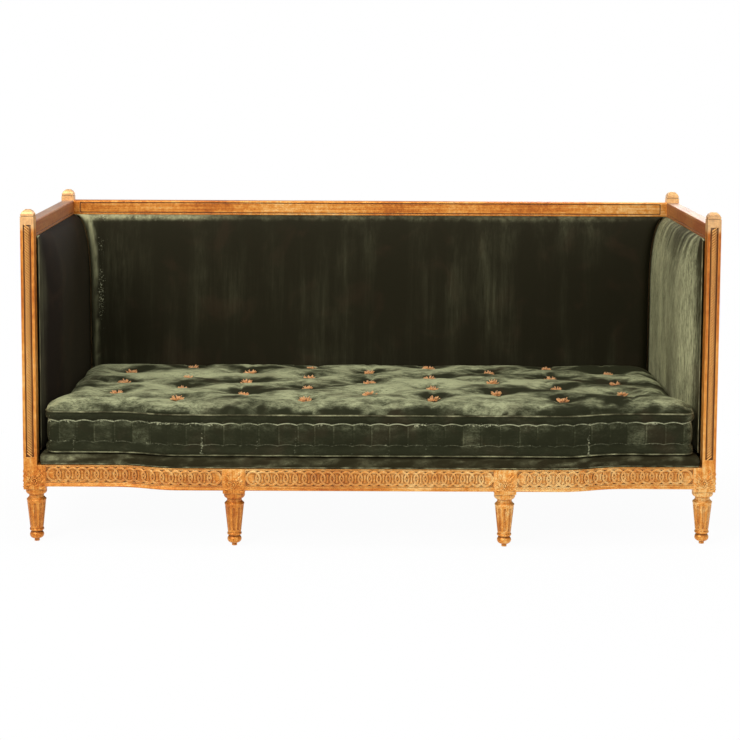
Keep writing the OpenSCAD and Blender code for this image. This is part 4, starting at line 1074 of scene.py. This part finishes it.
# Dust cloth tacked under the rails, cut out round the dies, with a slight sag across it
def make_dust_cover(cloth):
    half, rear, z = 990.0, 395.0, 175.0
    form = bmesh.new()
    bmesh.ops.create_grid(form, x_segments=96, y_segments=32, size=0.5)
    for v in form.verts:
        x = v.co.x * 2 * half
        front = FRONT_Y + 10 + bow(x)
        v.co = Vector((x, front + (v.co.y + 0.5) * (rear - front), z))
    clear, past, wide = DIE + 1, 1100, DIE / 2 + 1
    holes = [(side * x0, side * x1, y0, y1) for x0, x1, front in (
                 (DIE_IN, past, FRONT_Y), (CENTRE_LEG - wide, CENTRE_LEG + wide, FRONT_Y - BOW))
             for side in (-1, 1)
             for y0, y1 in ((-past, front + clear), (REAR_Y - clear, past))]
    for x0, x1, y0, y1 in holes:
        for place, way in (((x0, 0, 0), (1, 0, 0)), ((x1, 0, 0), (1, 0, 0)),
                           ((0, y0, 0), (0, 1, 0)), ((0, y1, 0), (0, 1, 0))):
            bmesh.ops.bisect_plane(form, geom=form.verts[:] + form.edges[:] + form.faces[:],
                                   plane_co=place, plane_no=way, dist=1e-4)
    cut = [f for f in form.faces for c in [f.calc_center_median()]
           if any(min(x0, x1) < c.x < max(x0, x1) and y0 < c.y < y1 for x0, x1, y0, y1 in holes)]
    bmesh.ops.delete(form, geom=cut, context="FACES")
    for v in form.verts:
        rise = (roll(940 - abs(v.co.x), 160) * roll(v.co.y - (FRONT_Y + 50 + bow(v.co.x)), 160)
                * roll(355 - v.co.y, 160))
        v.co.z -= rise * (4.5 + 2.5 * wander(v.co.x, v.co.y, 0, 240, 2))
    bmesh.ops.scale(form, vec=(MM, MM, MM), verts=form.verts)
    area = sum(f.calc_area() for f in form.faces)
    cover = keep(form, "dust_cloth_cover", cloth)
    thick = cover.modifiers.new("cloth_thickness", "SOLIDIFY")
    thick.thickness, thick.offset = 1.0 * MM, 0.0
    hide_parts("dust_cover")


bpy.context.scene.view_settings.view_transform = "Standard"
make_camera()
make_stage()
lamp("key", (-2.6, -3.6, 3.3), (0.2, 0.0, 0.5), (2.2, 1.6), 150)
lamp("fill", (3.2, -4.0, 2.0), (0.0, 0.0, 0.4), (2.4, 2.4), 38)
lamp("over", (0.0, -0.6, 3.6), (0.0, 0.0, 0.4), (3.2, 1.6), 60)
lamp("behind", (1.6, 3.8, 2.4), (0.0, 0.0, 0.5), (2.4, 1.8), 45)

# Finishes, one for each run of the grain or lie of the pile; the gilts and velvets also differ in
# the highlights, reflection, sheen and shade painted into them
gilt_x = giltwood("gilt_along_x", (5, 190, 190))
gilt_y = giltwood("gilt_along_y", (190, 5, 190))
# The arm rails' gilt holds their painted shade inside and painted reflection on top; the uprights'
# gilt, painted highlights on the post heads and painted shade on the rope panels
gilt_arm = giltwood("gilt_arm_rail", (190, 5, 190), 0.4, arm_rail=True)
gilt_z = giltwood("gilt_upright", (190, 190, 6), dirt_and_shade_level=0.7, head_highlight=0.8)
gilt_carved = giltwood("gilt_carved", (90, 90, 90), painted_highlight=0.3, dirt_and_shade_level=0.7)
# Rope gilt: painted pale all over as highlight, with stronger painted edge highlights
gilt_rope_highlight = giltwood("gilt_rope_highlight", (90, 90, 90), painted_highlight=1.2, dirt_and_shade_level=0.0, pale=0.6)
beech_x = bare_wood("beech_along_x", (3, 70, 70))
beech_y = bare_wood("beech_along_y", (70, 3, 70))
beech_z = bare_wood("beech_upright", (70, 70, 3))
jute, jute_flat, jute_side = [
    woven(name, across, down, 0.0025, paint(118, 92, 54), paint(178, 150, 100))
    for name, across, down in (("jute_web", "X", "Z"), ("jute_web_flat", "X", "Y"),
                               ("jute_web_side", "Y", "Z"))]
cambric = woven("dust_cambric", "X", "Y", 0.0012, paint(26, 25, 23), paint(50, 48, 44))
# The left arm's velvet is a copy painted darker and redder, as in shade; the right arm's, painted
# pale below, is the lit copy
velvet_back = velvet("velvet_back", (44, 44, 3), dark=(32, 29, 15), streaky=1.1)
velvet_left_shaded = velvet("velvet_left_arm_shaded", (60, 60, 3), dark=(28, 21, 15), streaky=0.6)
velvet_right_lit = velvet("velvet_right_arm_lit", (180, 180, 22), streaky=1.2, patchy=0.5, fleecy=2.2)
velvet_bed = velvet("velvet_mattress", (34, 90, 60), dark=(36, 37, 20), pale=(160, 162, 122),
                    streaky=1.0, fleecy=2.6, sewn=True)
velvet_deck = velvet("velvet_deck", (26, 62, 40), streaky=1.4)
velvet_outside = velvet("velvet_outside", (40, 40, 3), streaky=0.7)
for word, finish_part in (
        ("front_rail", gilt_x), ("crest_rail", gilt_x), ("seat_rail", gilt_y),
        ("arm_rail", gilt_arm), ("post", gilt_z), ("centre_leg", gilt_z),
        ("rear_rail", beech_x), ("back_tacking", beech_x), ("corner_blocks", beech_x),
        ("cross_rail", beech_y), ("arm_tacking", beech_y), ("upright", beech_z),
        ("back_webbing", jute), ("arm_webbing", jute_side), ("seat_webbing", jute_flat),
        ("screws", steel_finish())):
    for name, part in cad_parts.items():
        if word in name:
            part.data.materials.clear()
            part.data.materials.append(finish_part)

make_dust_cover(cambric)
make_deck(velvet_deck)
make_back_pad(velvet_back)
# Left arm pad painted as in shade: dark, with a little painted sheen at its front end. Right arm
# pad painted as lit: pale sheen, darker in its middle, at its front end and along its top
make_arm_pad(-1, velvet_left_shaded, lambda p, n: -0.12 + 0.3 * ease(p.y, -250, -322)
             + 0.1 * wander(p.y, 0, p.z * 0.2, 60, 3))
make_arm_pad(1, velvet_right_lit, lambda p, n: 0.55 + 0.16 * wander(p.y, 0, p.z * 0.25, 60, 3)
             - 0.14 * exp(-((p.y + 60) / 90) ** 2) - 0.4 * ease(-p.y, 270, 322)
             - 0.3 * ease(p.z, 780, 880) * (0.7 + 1.5 * wander(p.y, 0, 0, 26, 8)))
make_mattress(velvet_bed)
make_mattress_welts(velvet_deck)
make_pad_welts(velvet_back, velvet_left_shaded, velvet_right_lit, velvet_deck)
make_carving(gilt_carved)
make_rail_beads(gilt_x, gilt_y)
make_rope_crests(gilt_rope_highlight)
make_tufts(thread_finish())
make_outside("outside_back_cover", "outside_back_panel",
             ((0.4 - OPEN_W, OPEN_W - 0.4), (230.4, 890.6)),
             lambda a, z, out: (a, REAR_Y - COVER_IN + out, z), velvet_outside)
for side, name in ((-1, "left"), (1, "right")):
    make_outside(f"outside_{name}_arm_cover", f"{name}_outside_arm_panel",
                 ((-325.6, 365.6), (230.4, 890.6)),
                 lambda a, z, out: (side * (HALF_W - COVER_IN + out), a, z), velvet_outside)
